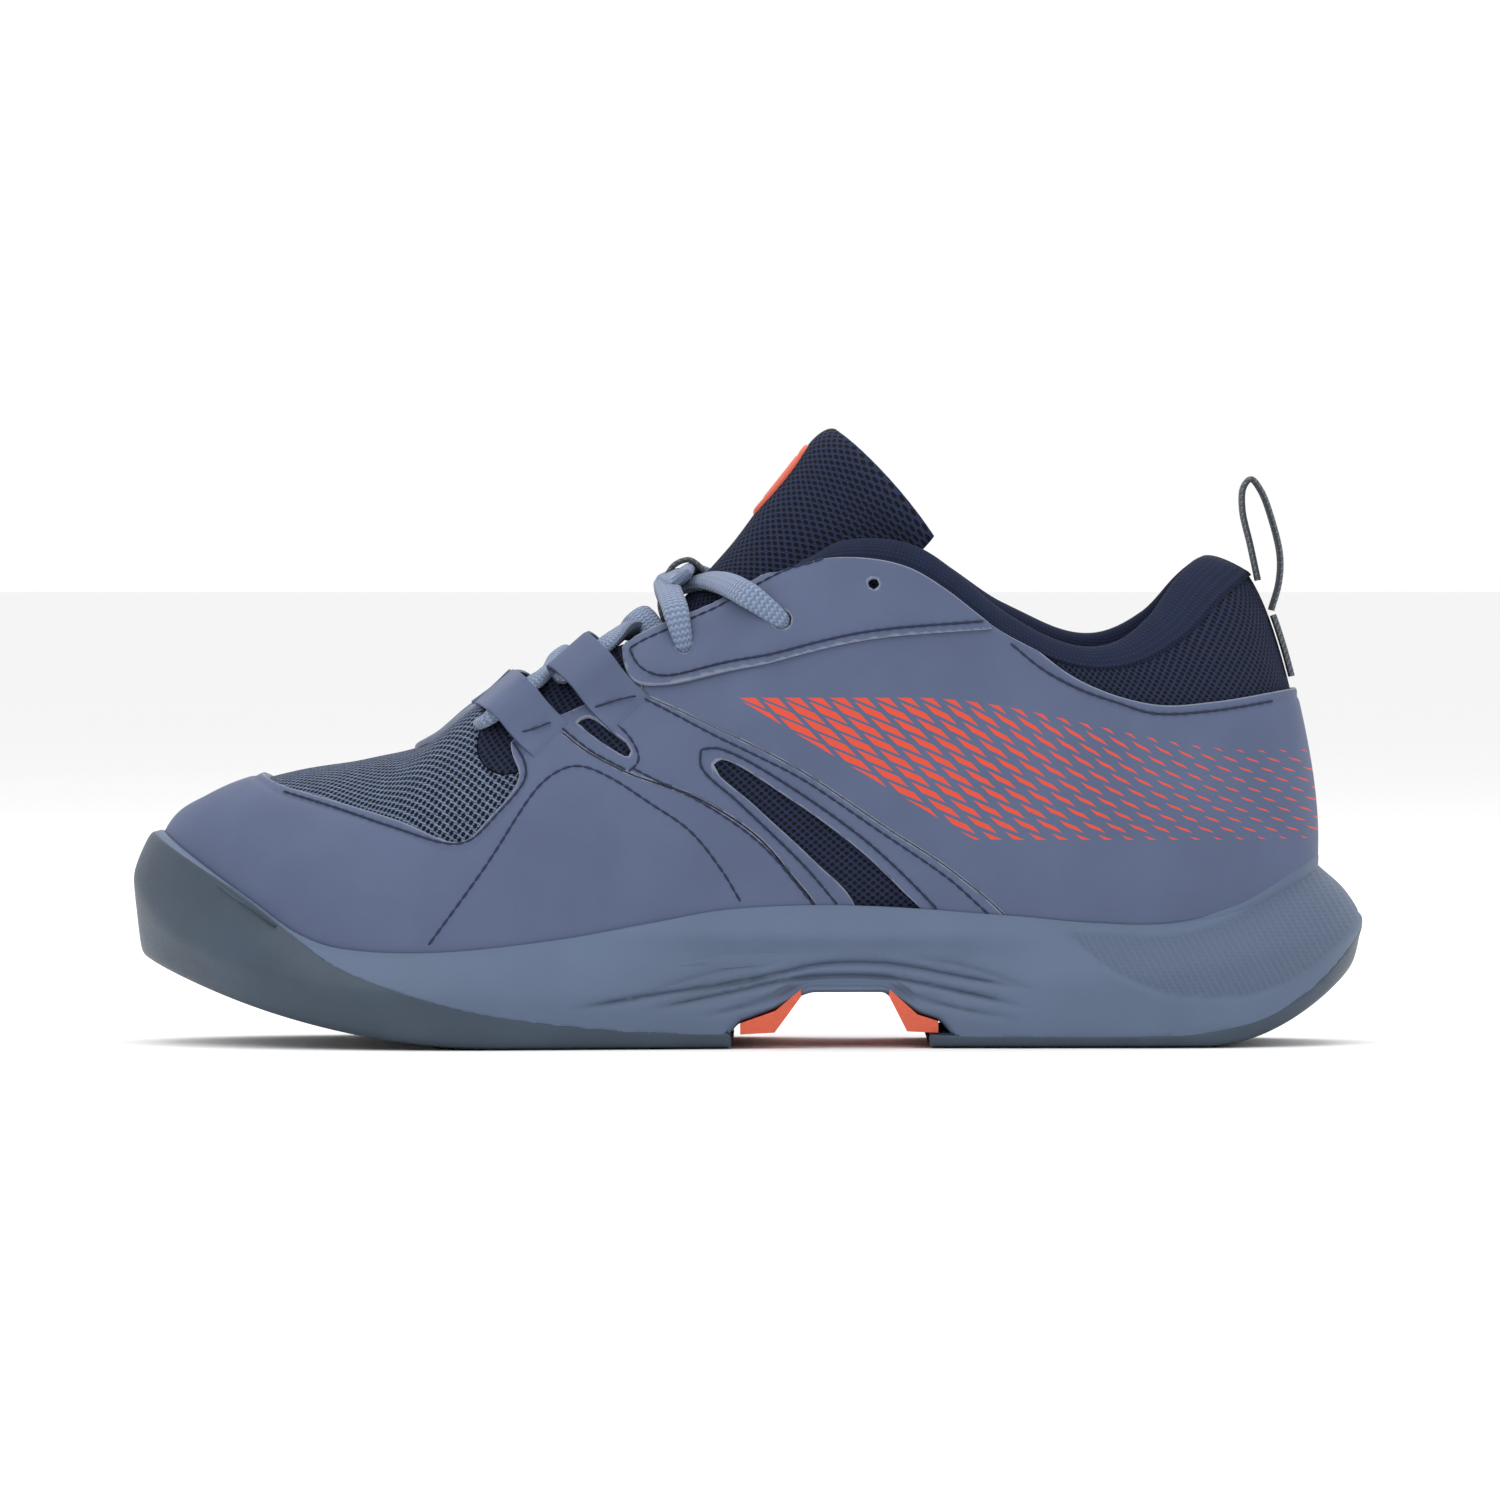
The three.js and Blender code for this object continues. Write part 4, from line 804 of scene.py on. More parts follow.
def knitted(name, base, pale_yarn_and_highlight, wide, tall, depth, hole_size):
    """A mesh with a hole every wide by tall millimetres, in two rows that are staggered."""
    made = Finish(name, roughness=0.9, Specular_IOR_Level=0.2)
    u, v = made.cloth()
    edge = honeycomb(u, v, wide, tall)
    yarn = edge.ramp(hole_size - 0.16, hole_size + 0.1)
    twist = ((u * 1.3 + v * 2.1) * 5.2).sine() * 0.5 + 0.5
    tone = made.noise(made.place(), 0.35, 2.0)
    # The yarn is mixed towards the lighter colour along its twist. In the collar and tongue knits that
    # colour is a lit copy of the yarn, painted highlight on the twists. In the toe knit it is the pale
    # second yarn.
    thread = made.mixed(twist * 0.6 + tone * 0.5, base, pale_yarn_and_highlight)
    # The holes get the hole colour: painted shade seen through the mesh.
    made.paint(made.mixed(yarn, colours().hole, thread))
    return made.relief(yarn * 0.8 + twist * yarn * 0.2, depth)


@finish
def collar_knit_finish():
    base = colours().knit
    # shade(base, 2.1) is a lit copy of the yarn: painted highlight along its twist.
    return knitted("collar_knit", base, shade(base, 2.1), 1.9, 1.8, 0.35, 0.5)


@finish
def toe_knit_finish():
    base = colours().knit
    return knitted("toe_knit", shade(base, 1.5), colours().knit_pale, 1.9, 1.8, 0.4, 0.55)


@finish
def tongue_knit_finish():
    base = colours().knit
    # shade(base, 2.4) is a lit copy of the yarn: painted highlight along its twist.
    return knitted("tongue_knit", shade(base, 0.9), shade(base, 2.4), 1.9, 1.9, 0.4, 0.5)


@finish
def lining_finish():
    base = colours().lining
    made = Finish("lining_knit", roughness=0.95, Specular_IOR_Level=0.15)
    u, v = made.cloth()
    rib = ((u * 6.0).sine() * 0.5 + 0.5) * ((v * 7.5 + (u * 6.0).sine()).sine() * 0.5 + 0.5)
    tone = made.noise(made.place(), 0.25, 2.0)
    made.paint(made.mixed(rib * 0.7 + tone * 0.3, shade(base, 0.7), shade(base, 1.35)))
    return made.relief(rib, 0.15)


@finish
def foam_finish():
    base = colours().foam
    made = Finish("midsole_foam", roughness=0.58, Specular_IOR_Level=0.4)
    where = made.place()
    x, _, z = made.parts(where)
    tone = made.noise(where, 0.04, 2.0)
    grain = made.noise(where, 3.5, 2.0)
    mark = made.attribute("edge")
    # The edge attribute is positive over the heel flare and negative in the fanned grooves.
    flare, groove = mark.most(0.0), (mark * -1.0).most(0.0)
    cells = (1.0 - abs(((x + z * 0.55) / 1.75).fract() - 0.5) * 2.0) ** 3.0
    rows = (1.0 - abs((z / 0.95).fract() - 0.5) * 2.0) ** 3.0
    engraved = cells.most(rows * 0.7) * flare
    paint = made.mixed(tone.ramp(0.3, 0.7), shade(base, 0.95), shade(base, 1.05))
    paint = made.mixed(flare * 0.8, paint, shade(base, 0.74))
    # Painted shade darkens the fanned grooves.
    paint = made.mixed(groove * 0.75, paint, shade(base, 0.5))
    # The engraved ridges are painted lighter: painted highlight on the ridges.
    made.paint(made.mixed(engraved * 0.35, paint, shade(base, 1.5)))
    return made.relief(grain * 0.25 + engraved * 0.8, 0.16)


@finish
def rubber_finish():
    base = colours().rubber
    made = Finish("outsole_rubber", roughness=0.5, Specular_IOR_Level=0.45)
    where = made.place()
    grain = made.noise(where, 1.8, 4.0)
    tone = made.noise(where, 0.05, 2.0)
    made.paint(made.mixed(tone.ramp(0.3, 0.7), shade(base, 0.9), shade(base, 1.1)))
    made.rough(grain.ramp(0.2, 0.8) * 0.15 + 0.42)
    return made.relief(grain, 0.04)


@finish
def shank_finish():
    base = colours().shank
    made = Finish("moulded_shank", roughness=0.4, Coat_Weight=0.15)
    where = made.place()
    grain = made.noise(where, 1.2, 3.0)
    made.paint(made.mixed(grain.ramp(0.3, 0.7), shade(base, 0.94), shade(base, 1.06)))
    made.rough(grain * 0.15 + 0.33)
    return made.relief(grain, 0.03)


@finish
def lace_finish():
    base = colours().lace
    made = Finish("lace_braid", roughness=0.88, Specular_IOR_Level=0.2, Sheen_Weight=0.2)
    u, v = made.cloth()
    rib = abs((u / 1.5).fract() - 0.5) * 2.0
    chevron = (v * 4.6 + rib * 2.6).sine() * 0.5 + 0.5
    braid = chevron * (1.0 - (1.0 - rib) ** 4.0 * 0.6)
    fuzz = made.noise(made.place(), 1.5, 3.0)
    made.paint(made.mixed(braid * 0.75 + fuzz * 0.35, shade(base, 0.5), shade(base, 1.3)))
    return made.relief(braid, 0.28)


@finish
def webbing_finish():
    base = colours().webbing
    made = Finish("woven_webbing", roughness=0.85, Specular_IOR_Level=0.25)
    u, v = made.cloth()
    twill = (u * 4.2 + v * 4.2).sine() * 0.5 + 0.5
    weft = (v * 8.4).sine() * 0.5 + 0.5
    weave = twill * 0.7 + weft * 0.3
    made.paint(made.mixed(weave, shade(base, 0.42), shade(base, 1.45)))
    return made.relief(weave, 0.18)


@finish
def thread_finish():
    base = colours().thread
    made = Finish("sewing_thread", roughness=0.7, Specular_IOR_Level=0.3)
    where = made.place()
    twist = made.noise(where, 2.4, 2.0)
    return made.paint(made.mixed(twist, shade(base, 0.7), shade(base, 1.5)))


@finish
def hidden_board_finish():
    made = Finish("fibre_board", roughness=0.9)
    fibre = made.noise(made.place(), 0.9, 5.0)
    made.paint(made.mixed(fibre, srgb(150, 146, 134), srgb(196, 192, 180)))
    return made.relief(fibre, 0.1)


@finish
def white_foam_finish():
    made = Finish("open_cell_foam", roughness=0.95)
    cells = made.noise(made.place(), 1.6, 4.0)
    made.paint(made.mixed(cells.ramp(0.3, 0.7), srgb(196, 192, 180), srgb(232, 229, 220)))
    return made.relief(cells, 0.2)


@finish
def tip_finish():
    base = colours().webbing
    made = Finish("lace_tip_plastic", roughness=0.25, Coat_Weight=0.4)
    tone = made.noise(made.place(), 0.8, 2.0)
    return made.paint(made.mixed(tone, shade(base, 0.8), shade(base, 1.1)))


# ---- Shared distances from the upper's surface ----------------------------------------------------
def layers():
    """Inner and outer distances of the first and the second panels, and the depth behind the base mesh."""
    gap, thick = sizes().gap / MM, sizes().overlay / MM
    first = (gap, gap + thick)
    second = (first[1] + gap, first[1] + gap + thick)
    return first, second, sizes().knit / MM + gap


# ---- Sole -----------------------------------------------------------------------------------------
RUBBER_LINE = [
    [-160, 60], [-148, 60], [-146, 53], [-121, 36], [-109, 27], [-99.5, 20.3], [-85, 14.6],
    [-65, 9], [-36, 5], [-16, 3.8], [-4, 3.6],
]
HEEL_LINE = [[44, 3], [104, 3], [118, 4.8], [130, 9.5], [139, 16], [146, 23.5], [152, 32]]
ARCH = [
    (-6, 0), (-4.5, 3.2), (-2, 5.9), (6.5, 8.9), (12.5, 12.2), (15.5, 13.2), (32.5, 13.2),
    (35, 12.4), (41, 8), (46.5, 6.2), (49, 3.1), (51, 0),
]
GROOVES = [
   
    ([[-45, 9.3], [-22, 13.1], [2, 16.8], [18.2, 20.3], [34.3, 20.3], [50.5, 17.4], [69.2, 14]], 0.75),
    ([[-28.8, 12.4], [-8.5, 18.3], [12.5, 22.4]], 0.4),
    ([[35.2, 22.3], [50.5, 20.2], [73.1, 12.9]], 0.4),
    ([[-26.4, 8.9], [-5.3, 13.2], [14.1, 16.9], [33.6, 16.9], [53, 13.2], [69.2, 9.5]], 0.75),
    ([[-22, 11.2], [-4, 15.1], [12, 18.3]], 0.35), ([[-15, 7.1], [-2.1, 9.8], [11.6, 13.6]], 0.55),
    ([[35.2, 13.6], [49.7, 9.8], [67.5, 6.7]], 0.55),
]
FLARE_LINE = [
    [78, 26.5], [87, 19.2], [99.5, 13.6], [110, 12], [122, 12.8], [136.6, 19], [150, 31.5],
]

RUBBER_BORDER = rounded(RUBBER_LINE).tolist() + [[-4, -FAR], [-FAR, -FAR], [-FAR, 60]]
HEEL_BORDER = rounded(HEEL_LINE).tolist() + [[FAR, 32], [FAR, -FAR], [44, -FAR]]
FLARE_BORDER = rounded(FLARE_LINE).tolist() + [[160, 31.5], [160, 70], [78, 70]]


def rubber_zone(p):
    return inside(p[:, [0, 2]], RUBBER_BORDER)


def heel_zone(p):
    return inside(p[:, [0, 2]], HEEL_BORDER)


def flare_zone(p):
    return np.minimum(inside(p[:, [0, 2]], FLARE_BORDER), rim_height(p[:, 0]) - 2.6 - p[:, 2])


def share_at_height(angle, z):
    a = folded(angle)
    low, high = feather(angle)[:, 2], crest(angle)[:, 2]
    up = np.clip((z - low) / (high - low), 0, 1)
    return np.arcsin(np.clip(np.sin(rib_turn(a)) * up ** (fullness(a) / 2), 0, 1)) / rib_turn(a)


FLOOR_DROP = 2  # the foam's floor inside is this far below the foot bed
FOAM_STEPS = (3, 9, 13)  # steps of the section: the underside's edge, the lip and the middle inside


def sole_section(angle, base):
    """Points round the sole's section at each angle: underside, wall, rim, and the floor inside."""
    wall = wall_shape(angle % 360)
    lean = wall[:, 1]

    def ring(distance, height):
        p = inset(angle, distance * np.ones_like(angle))
        return np.column_stack([p, height(p[:, 0])])

    def hull(z, away):
        return upper(np.column_stack([angle, share_at_height(angle, z)]), away)
    middle_x = 138 * np.cos(np.radians(angle))
    middle = np.column_stack([middle_x, 3 - 0.02 * middle_x, base(middle_x)])
    edge = ring(9, base)
    widest = np.maximum(wall[:, 0], base(inset(angle, 0 * lean)[:, 0]) + 6)
    low = ring(1.9, lambda x: base(x) + 1.9)
    rim = ring(lean, lambda x: rim_height(x) - 1.3)
    outer = layers()[0][1]
    seat = hull(rim[:, 2] + 0.7, outer + 0.1)
    lip = 0.62 * rim + 0.38 * seat
    lip[:, 2] = rim[:, 2] + 1.3
    deep = hull(rim[:, 2] - 6, outer + 0.1)
    floor = upper(np.column_stack([angle, 0 * angle]), outer)
    floor[:, 2] = bed_height(floor[:, 0]) - FLOOR_DROP
    core = middle.copy()
    core[:, 2] = bed_height(middle_x) - FLOOR_DROP
    between = mix(middle, edge, 0.5)
    between[:, 2] = base(between[:, 0])
    return np.stack([
        middle, between, edge, ring(3.7, lambda x: base(x) + 0.45), low,
        np.column_stack([inset(angle, 0.75 * np.ones_like(angle)), mix(low[:, 2], widest, 0.5)]),
        np.column_stack([inset(angle, 0 * lean), widest]),
        np.column_stack([inset(angle, lean * 0.36), mix(widest, rim[:, 2], 0.5)]),
        rim, lip, seat, deep, floor, core], axis=1)


SECTION_TENSION = 0.42
SECTION_STEPS = 4  # sections to a degree
_sections = {}


def section_near(angle, base):
    """The section at each angle, read between ones a quarter of a degree apart."""
    if base not in _sections:
        _sections[base] = sole_section(np.linspace(0, 360, 360 * SECTION_STEPS + 1), base)
    place = (angle % 360) * SECTION_STEPS
    i = np.minimum(place.astype(int), 360 * SECTION_STEPS - 1)
    return mix(_sections[base][i], _sections[base][i + 1], (place - i)[:, None, None])


def sole_point(at, base, shaped):
    """A point of the sole's skin at (angle, step of the section)."""
    section = section_near(at[:, 0], base)
    last = section.shape[1] - 1
    v = np.clip(at[:, 1], 0, last)
    i = np.minimum(v.astype(int), last - 1)
    t = (v - i)[:, None]
    row = np.arange(len(at))
    p0, p1, p2, p3 = [section[row, np.clip(i + n, 0, last)] for n in (-1, 0, 1, 2)]
    return shaped(at, hermite(t, p1, p2, SECTION_TENSION * (p2 - p0), SECTION_TENSION * (p3 - p1)))


def inward(at):
    d = inset(at[:, 0], np.ones(len(at))) - inset(at[:, 0], np.zeros(len(at)))
    return np.column_stack([d, np.zeros(len(at))])


def on_wall(v):
    return smooth(3.2, 4.4, v) * smooth(9.4, 8.6, v)


def waist(at, p):
    """The wall is drawn in over the arch."""
    amount = 2.4 * np.exp(-((p[:, 0] - 22) / 44) ** 4) * np.exp(-((p[:, 2] - 17.5) / 7.5) ** 4)
    crown = 0.9 * np.exp(-((p[:, 0] - 22) / 52) ** 4) * np.exp(-((p[:, 2] - 27.5) / 2.6) ** 2)
    return p + inward(at) * ((amount - crown) * on_wall(at[:, 1]))[:, None]


def groove_depth(p, wide):
    depth = np.zeros(len(p))
    for line, deep in GROOVES:
        line = rounded(line, 1.5)
        ends = smooth(0, 14, np.minimum(p[:, 0] - line[0][0], line[-1][0] - p[:, 0]))
        depth = depth + deep * ends * np.exp(-((near_line(p[:, [0, 2]], line) / wide) ** 2))
    return depth


RUBBER_ROOM = 3.05  # the foam steps back this far where rubber covers it


def foam_shape(at, p):
    p = waist(at, p)
    covered = np.maximum(rubber_zone(p), heel_zone(p))
    under = smooth(0.3, 1.7, covered)
    wall = smooth(2.6, 4.6, at[:, 1])
    away = inward(at) * wall[:, None] + np.array([0, 0, 1]) * (1 - wall)[:, None]
    p = p + away * (under * RUBBER_ROOM * (at[:, 1] < 9.5))[:, None]
    depth = groove_depth(p, 0.7) * 1.25
    flare = flare_zone(p)
    depth = depth + 0.45 * smooth(-0.5, 0.6, flare) + 0.25 * np.exp(-((flare / 0.7) ** 2))
    return p + inward(at) * (depth * on_wall(at[:, 1]))[:, None]


def over_line(at, line, shift):
    """How far the wall is above a groove's line, and nowhere near 0 away from that groove."""
    p = sole_point(at, foam_base, lambda q, point: point)
    above = p[:, 2] - np.interp(p[:, 0], line[:, 0], line[:, 1]) - shift
    here = (p[:, 0] > line[0, 0] - 2) & (p[:, 0] < line[-1, 0] + 2) & (at[:, 1] > 4) & (at[:, 1] < 8.8)
    return np.where(here, above, 9.0)


def foam_base(x):
    heights = np.interp(x, [k[0] for k in ARCH], [k[1] for k in ARCH])
    return np.maximum(ground_height(x), heights)


def skin(base, shaped):
    """The sole's skin as a surface that can be moved out by a distance."""
    def place(at, distance=0.0):
        at = np.asarray(at, float)
        p = sole_point(at, base, shaped)
        distance = np.broadcast_to(np.asarray(distance, float), len(at))
        if not distance.any():
            return p
        step = [0, 0.08]
        safe = np.column_stack([at[:, 0], np.clip(at[:, 1], 0.1, 12.9)])
        rise = sole_point(safe + step, base, shaped) - sole_point(safe - step, base, shaped)
        round_ = sole_point(safe + [1, 0], base, shaped) - sole_point(safe - [1, 0], base, shaped)
        return p + unit(np.cross(rise, round_)) * distance[:, None]
    return place


def tread_cut(p):
    """Depth of the zigzag grooves of the tread at a point of the underside."""
    zigzag = np.abs(((p[:, 1] + 200) / 14) % 1 - 0.5) * 9
    across = ((p[:, 0] + zigzag) / 5.6) % 1
    ribs = smooth(0.04, 0.14, across) * smooth(0.42, 0.32, across)
    border = smooth(0, 4, np.abs(p[:, 0] + 40) - 1.5)
    return 1.5 * ribs * border


def rubber_shape(at, p):
    p = waist(at, p)
    under = smooth(2.3, 1.8, at[:, 1])
    return p + np.array([0, 0, 1]) * (tread_cut(p) * under)[:, None]


class ShoeOperator:
    bl_options = {"REGISTER", "UNDO"}

    @classmethod
    def poll(cls, context):
        return context.mode == "OBJECT"


class MakeMidsole(ShoeOperator, bpy.types.Operator):
    """Foam midsole: cupped wall with an arch gap, fanned grooves and an engraved heel flare"""
    bl_idname = "shoe.make_midsole"
    bl_label = "Midsole"

    def execute(self, context):
        edge, lip, last = FOAM_STEPS
        under, wall, inner = [
            np.linspace(*steps) for steps in ((0, edge, 12), (edge, lip, 47), (lip, last, 15))]
        at, faces = grid(even_angles(330), np.concatenate([under, wall[1:], inner[1:]]))
        for line, _ in GROOVES:
            line = np.array(rounded(line))
            for shift in (-0.7, 0, 0.7):
                at, faces = cut(at, faces, lambda q: over_line(q, line, shift), both=True)
        points = sole_point(at, foam_base, foam_shape)
        keep, faces = merged(points, faces)
        at, points = at[keep], points[keep]
        corner, second, third = [points[faces[:, n]] for n in range(3)]
        if (corner * np.cross(second - corner, third - corner)).sum() < 0:
            faces = faces[:, ::-1]
        flare = smooth(-0.3, 0.5, flare_zone(points)) * on_wall(at[:, 1])
        # groove marks the fanned grooves for painted shade in the foam's colour.
        groove = np.clip(groove_depth(points, 0.55) / 0.7, 0, 1) * on_wall(at[:, 1])
        make_mesh("midsole_foam", points, faces, foam_finish(), nodes=["midsole"],
                  edge=flare - groove, sharp=50)
        return {"FINISHED"}


class MakeOutsole(ShoeOperator, bpy.types.Operator):
    """Rubber outsole: a forefoot piece that turns up as the toe bumper, and a heel piece"""
    bl_idname = "shoe.make_outsole"
    bl_label = "Outsole"

    def execute(self, context):
        place = skin(ground_height, rubber_shape)
        rows = np.concatenate([np.linspace(0, 3, 42), np.linspace(3, 10, 34)[1:]])
        whole = grid(even_angles(250), rows)
        rim = 0.4  # the rubber's edge is rounded over this width
        for name, zone, node in [("forefoot_rubber", rubber_zone, "outsole_forefoot"),
                                 ("heel_rubber", heel_zone, "outsole_heel")]:
            field = lambda at: zone(place(at))
            at, faces = cut(*whole, field)
            at, faces = cut(at, faces, lambda q: field(q) - rim, both=True)
            near = np.clip(field(at), 0, rim)
            drop = rim - np.sqrt(np.maximum(rim**2 - (rim - near) ** 2, 0))
            shell(name, at, faces, -2.7, 0.12 - drop, rubber_finish(), place=place, nodes=[node], sharp=32)
        return {"FINISHED"}


class MakeInsole(ShoeOperator, bpy.types.Operator):
    """Removable insole: a foam bed with a raised edge, and the cloth on it"""
    bl_idname = "shoe.make_insole"
    bl_label = "Insole"

    def execute(self, context):
        def bed(at, height=0.0):
            ring = upper(np.column_stack([at[:, 0], 0 * at[:, 0]]), -5.9)
            middle_x = 132 * np.cos(np.radians(at[:, 0]))
            middle = np.column_stack([middle_x, 3 - 0.02 * middle_x])
            flat = mix(middle, ring[:, :2], at[:, 1:2])
            cup = 2.2 * at[:, 1] ** 6 * smooth(-90, 40, flat[:, 0])
            return np.column_stack([flat, bed_height(flat[:, 0]) + cup + height])
        at, faces = grid(even_angles(120), np.linspace(0, 1, 26))

        def rounding(thick):
            outward = ((at[:, 1] - 0.95) / 0.05).clip(0)
            return thick * (1 - np.sqrt(np.clip(1 - outward**2, 0, 1))) * 0.5
        shell("insole_foam", at, faces, 0.1, 4 - rounding(1.2), white_foam_finish(), place=bed,
              body="insole", nodes=["sockliner_foam"])
        shell("insole_cloth", at, faces, 4.15, 5.05 - rounding(0.8), lining_finish(), place=bed,
              body="insole", nodes=["sockliner_cloth"], uv=lambda q: bed(q)[:, :2])
        return {"FINISHED"}


# ---- Upper: zones in the side view ----------------------------------------------------------------
WRAP_REAR = [
    [-52, 110], [-58.5, 72.5], [-58.5, 72.5], [-54, 75.5], [-46, 76], [-39.5, 71.5], [-29, 66],
    [-12, 60], [2, 51], [10, 42], [18.5, 30], [21, 10],
]
SADDLE_REAR = [
    [-24, 110], [-25.5, 84.5], [-25.5, 84.5], [-9, 77.5], [12, 67], [34, 52.5], [50, 42], [65, 28],
    [72, 10],
]
VAMP_WINDOW = [
    [-119, 110], [-119, 110], [-119, 65], [-119, 65], [-114, 62.5], [-101, 59], [-84, 54.5],
    [-69, 49.5], [-62.5, 55], [-55, 65], [-57, 72], [-53, 110], [-53, 110],
]
SIDE_WINDOW = [
    [27, 10], [26, 34], [16, 45], [2, 58], [-8.5, 68], [-6.5, 69.5], [10, 60], [27, 47.5], [37, 38],
    [44, 30], [46, 10],
]
SMALL_WINDOW = [
    [-41.5, 77.9], [-38.3, 79.3], [-33.2, 76], [-28.2, 71.9], [-28.6, 69.8], [-34.3, 72.7],
]
EYESTAY = [
    [-24, 110], [-30, 96], [-28, 87.5], [-20, 86.5], [0, 91], [28, 98], [61, 101], [61, 101],
    [61, 160], [61, 160], [-24, 160], [-24, 160],
]
COLLAR_LINE = [
    [-60, 140], [20, 135], [63, 101.5], [80, 88.5], [98, 82.5], [112, 83], [131, 86], [170, 92],
]
THROAT = [[-64, 8], [-58, 12.5], [-40, 15.5], [-15, 18], [14, 20], [60, 20]]
THROAT_TAB = [
    [-64.4, -9], [-67, -12.5], [-72, -13], [-78, -9.5], [-81, 3], [-78, 15.5], [-72, 19],
    [-67, 18.5], [-64.4, 15], [-64.4, 15],
]
THROAT_MESH_EDGE = [
    [-64, 78], [-57, 83], [-46, 90.3], [-38, 94], [-30, 97.2], [-18.7, 100.4], [-7.2, 104.7],
    [3.7, 110.7], [13.5, 115.8],
]
THROAT_EDGE = [
    [-61, 73.5], [-57, 75.3], [-46, 79.3], [-39, 82.3], [-30, 86], [-27, 88.5], [-26.5, 92],
    [-18.7, 94], [-8, 98], [13.5, 108],
]
STAY_EDGE = [[-30.8, 95], [-26.3, 97.6], [-18.7, 101.2], [-7.2, 105.5], [3.7, 111.5], [13.5, 116.6]]
EYELETS = [[-15, 95.5], [8.5, 102.5]]
SPARE_EYELET = [30.6, 111.5]
EYELET_RADIUS, SPARE_RADIUS = 2.7, 1.9
KNIT_OVERLAP = 7.0  # the toe mesh runs this far under the wrap's rear edge


HIGH = 170


def above_edge(line):
    """Above a line of the side view, up to well over the shoe. Its four corners are sharp."""
    first, last = [line[0][0], HIGH], [line[-1][0], HIGH]
    return side_zone([first, first, line[0]] + line + [line[-1], last, last])


above_mesh = above_edge(THROAT_MESH_EDGE)
above_panel = above_edge(THROAT_EDGE)


def throat_zone(p):
    side = [[x, MIDDLE_Y - w] for x, w in THROAT] + [[x, MIDDLE_Y + w] for x, w in THROAT[::-1]]
    return np.maximum(np.minimum(inside(p[:, :2], side), p[:, 2] - 60), above_mesh(p))


_eyelets = {}


def holes_zone(p, spare=True):
    """Inside an eyelet hole of either side."""
    if not _eyelets:
        for side in (-1, 1):
            _eyelets[side] = upper(find(side, EYELETS + [SPARE_EYELET]), 1.5)
    best = np.full(len(p), -1e3)
    for side, centres in _eyelets.items():
        for centre, radius in zip(centres, [EYELET_RADIUS, EYELET_RADIUS] + [SPARE_RADIUS] * spare):
            best = np.maximum(best, radius - np.linalg.norm((p - centre) * [1, 0.8, 1], axis=1))
    return best


def laced_holes_zone(p):
    return holes_zone(p, spare=False)


def collar_limit(at):
    """How far a place is below the collar's knitted edge, or round on the instep."""
    below = (binding_start(at[:, 0]) - at[:, 1]) * 90
    return np.maximum(below, (folded(at[:, 0]) - 95.5) * 2)


wrap_rear = toe_side_zone(WRAP_REAR)
saddle_rear = toe_side_zone(SADDLE_REAR)
side_window = side_zone(SIDE_WINDOW)
small_window = side_zone(SMALL_WINDOW)
vamp_opening = side_zone(VAMP_WINDOW)
eyestay_area = side_zone(EYESTAY)
below_collar = below_zone(COLLAR_LINE)


def vamp_window(p):
    toe_arc = p[:, 0] + 119 - 0.011 * (p[:, 1] - 6) ** 2
    return np.minimum(vamp_opening(p), toe_arc)


def knit_map(at):
    """Distance round the shoe and height: for the mesh at the sides and the heel."""
    fine = np.linspace(-10, 370, 761)
    run = distance_run(outline(fine))
    return np.column_stack([np.interp(at[:, 0], fine, run) * 0.86, upper(at)[:, 2]])


def toe_map(at):
    """Along the shoe, and down from the ridge: for the mesh over the toes."""
    p, normal = upper(at), surface_normal(at)
    ridge = crest_and_ridge(np.linspace(98, 180, 200))[::-1]
    ridge_y, ridge_z = [np.interp(p[:, 0], ridge[:, 0], ridge[:, n]) for n in (1, 2)]
    chord = np.hypot(p[:, 1] - ridge_y, p[:, 2] - ridge_z)
    bend = np.maximum(np.arccos(np.clip(normal[:, 2], 0, 1)) / 2, 1e-3)
    return np.column_stack([p[:, 0], np.sign(p[:, 1] - ridge_y) * chord * bend / np.sin(bend)])


# ---- Depths behind the base mesh ------------------------------------------------------------------
COUNTER, PUFF, LINING, COLLAR_FOAM = 1.5, 1.1, 0.8, 5.0
PAD_ROOM = 0.3  # clearance round each of them


def counter_depth(angle, level):
    return (COUNTER + PAD_ROOM) * smooth(46, 38, folded(angle)) * smooth(0.66, 0.52, level)


def foam_depth(angle, level):
    p = surface(np.column_stack([angle, np.clip(level, 0, 1) * binding_start(angle)]))
    thick = smooth(28, 50, p[:, 0]) * smooth(60, 80, p[:, 2]) * mix(1, 0.6, smooth(104, 120, p[:, 2]))
    deep = COLLAR_FOAM * np.maximum(0.15, thick) + PAD_ROOM
    return deep * smooth(84, 72, folded(angle)) * smooth(0.3, 0.42, level)


def puff_depth(angle, level):
    return (PUFF + PAD_ROOM) * smooth(147, 156, folded(angle)) * smooth(0.9, 0.78, level)


def lining_outer(angle, level):
    stiff, soft = counter_depth(angle, level), foam_depth(angle, level)
    return -(layers()[2] + stiff + soft + puff_depth(angle, level))


def levelled(at, distance=0.0):
    """A place by (angle, level): level 1 is where the collar's knitted edge starts."""
    return upper(np.column_stack([at[:, 0], at[:, 1] * binding_start(at[:, 0])]), distance)


def panel_field(zone):
    return lambda at: np.minimum(zone(upper(at)), collar_limit(at))


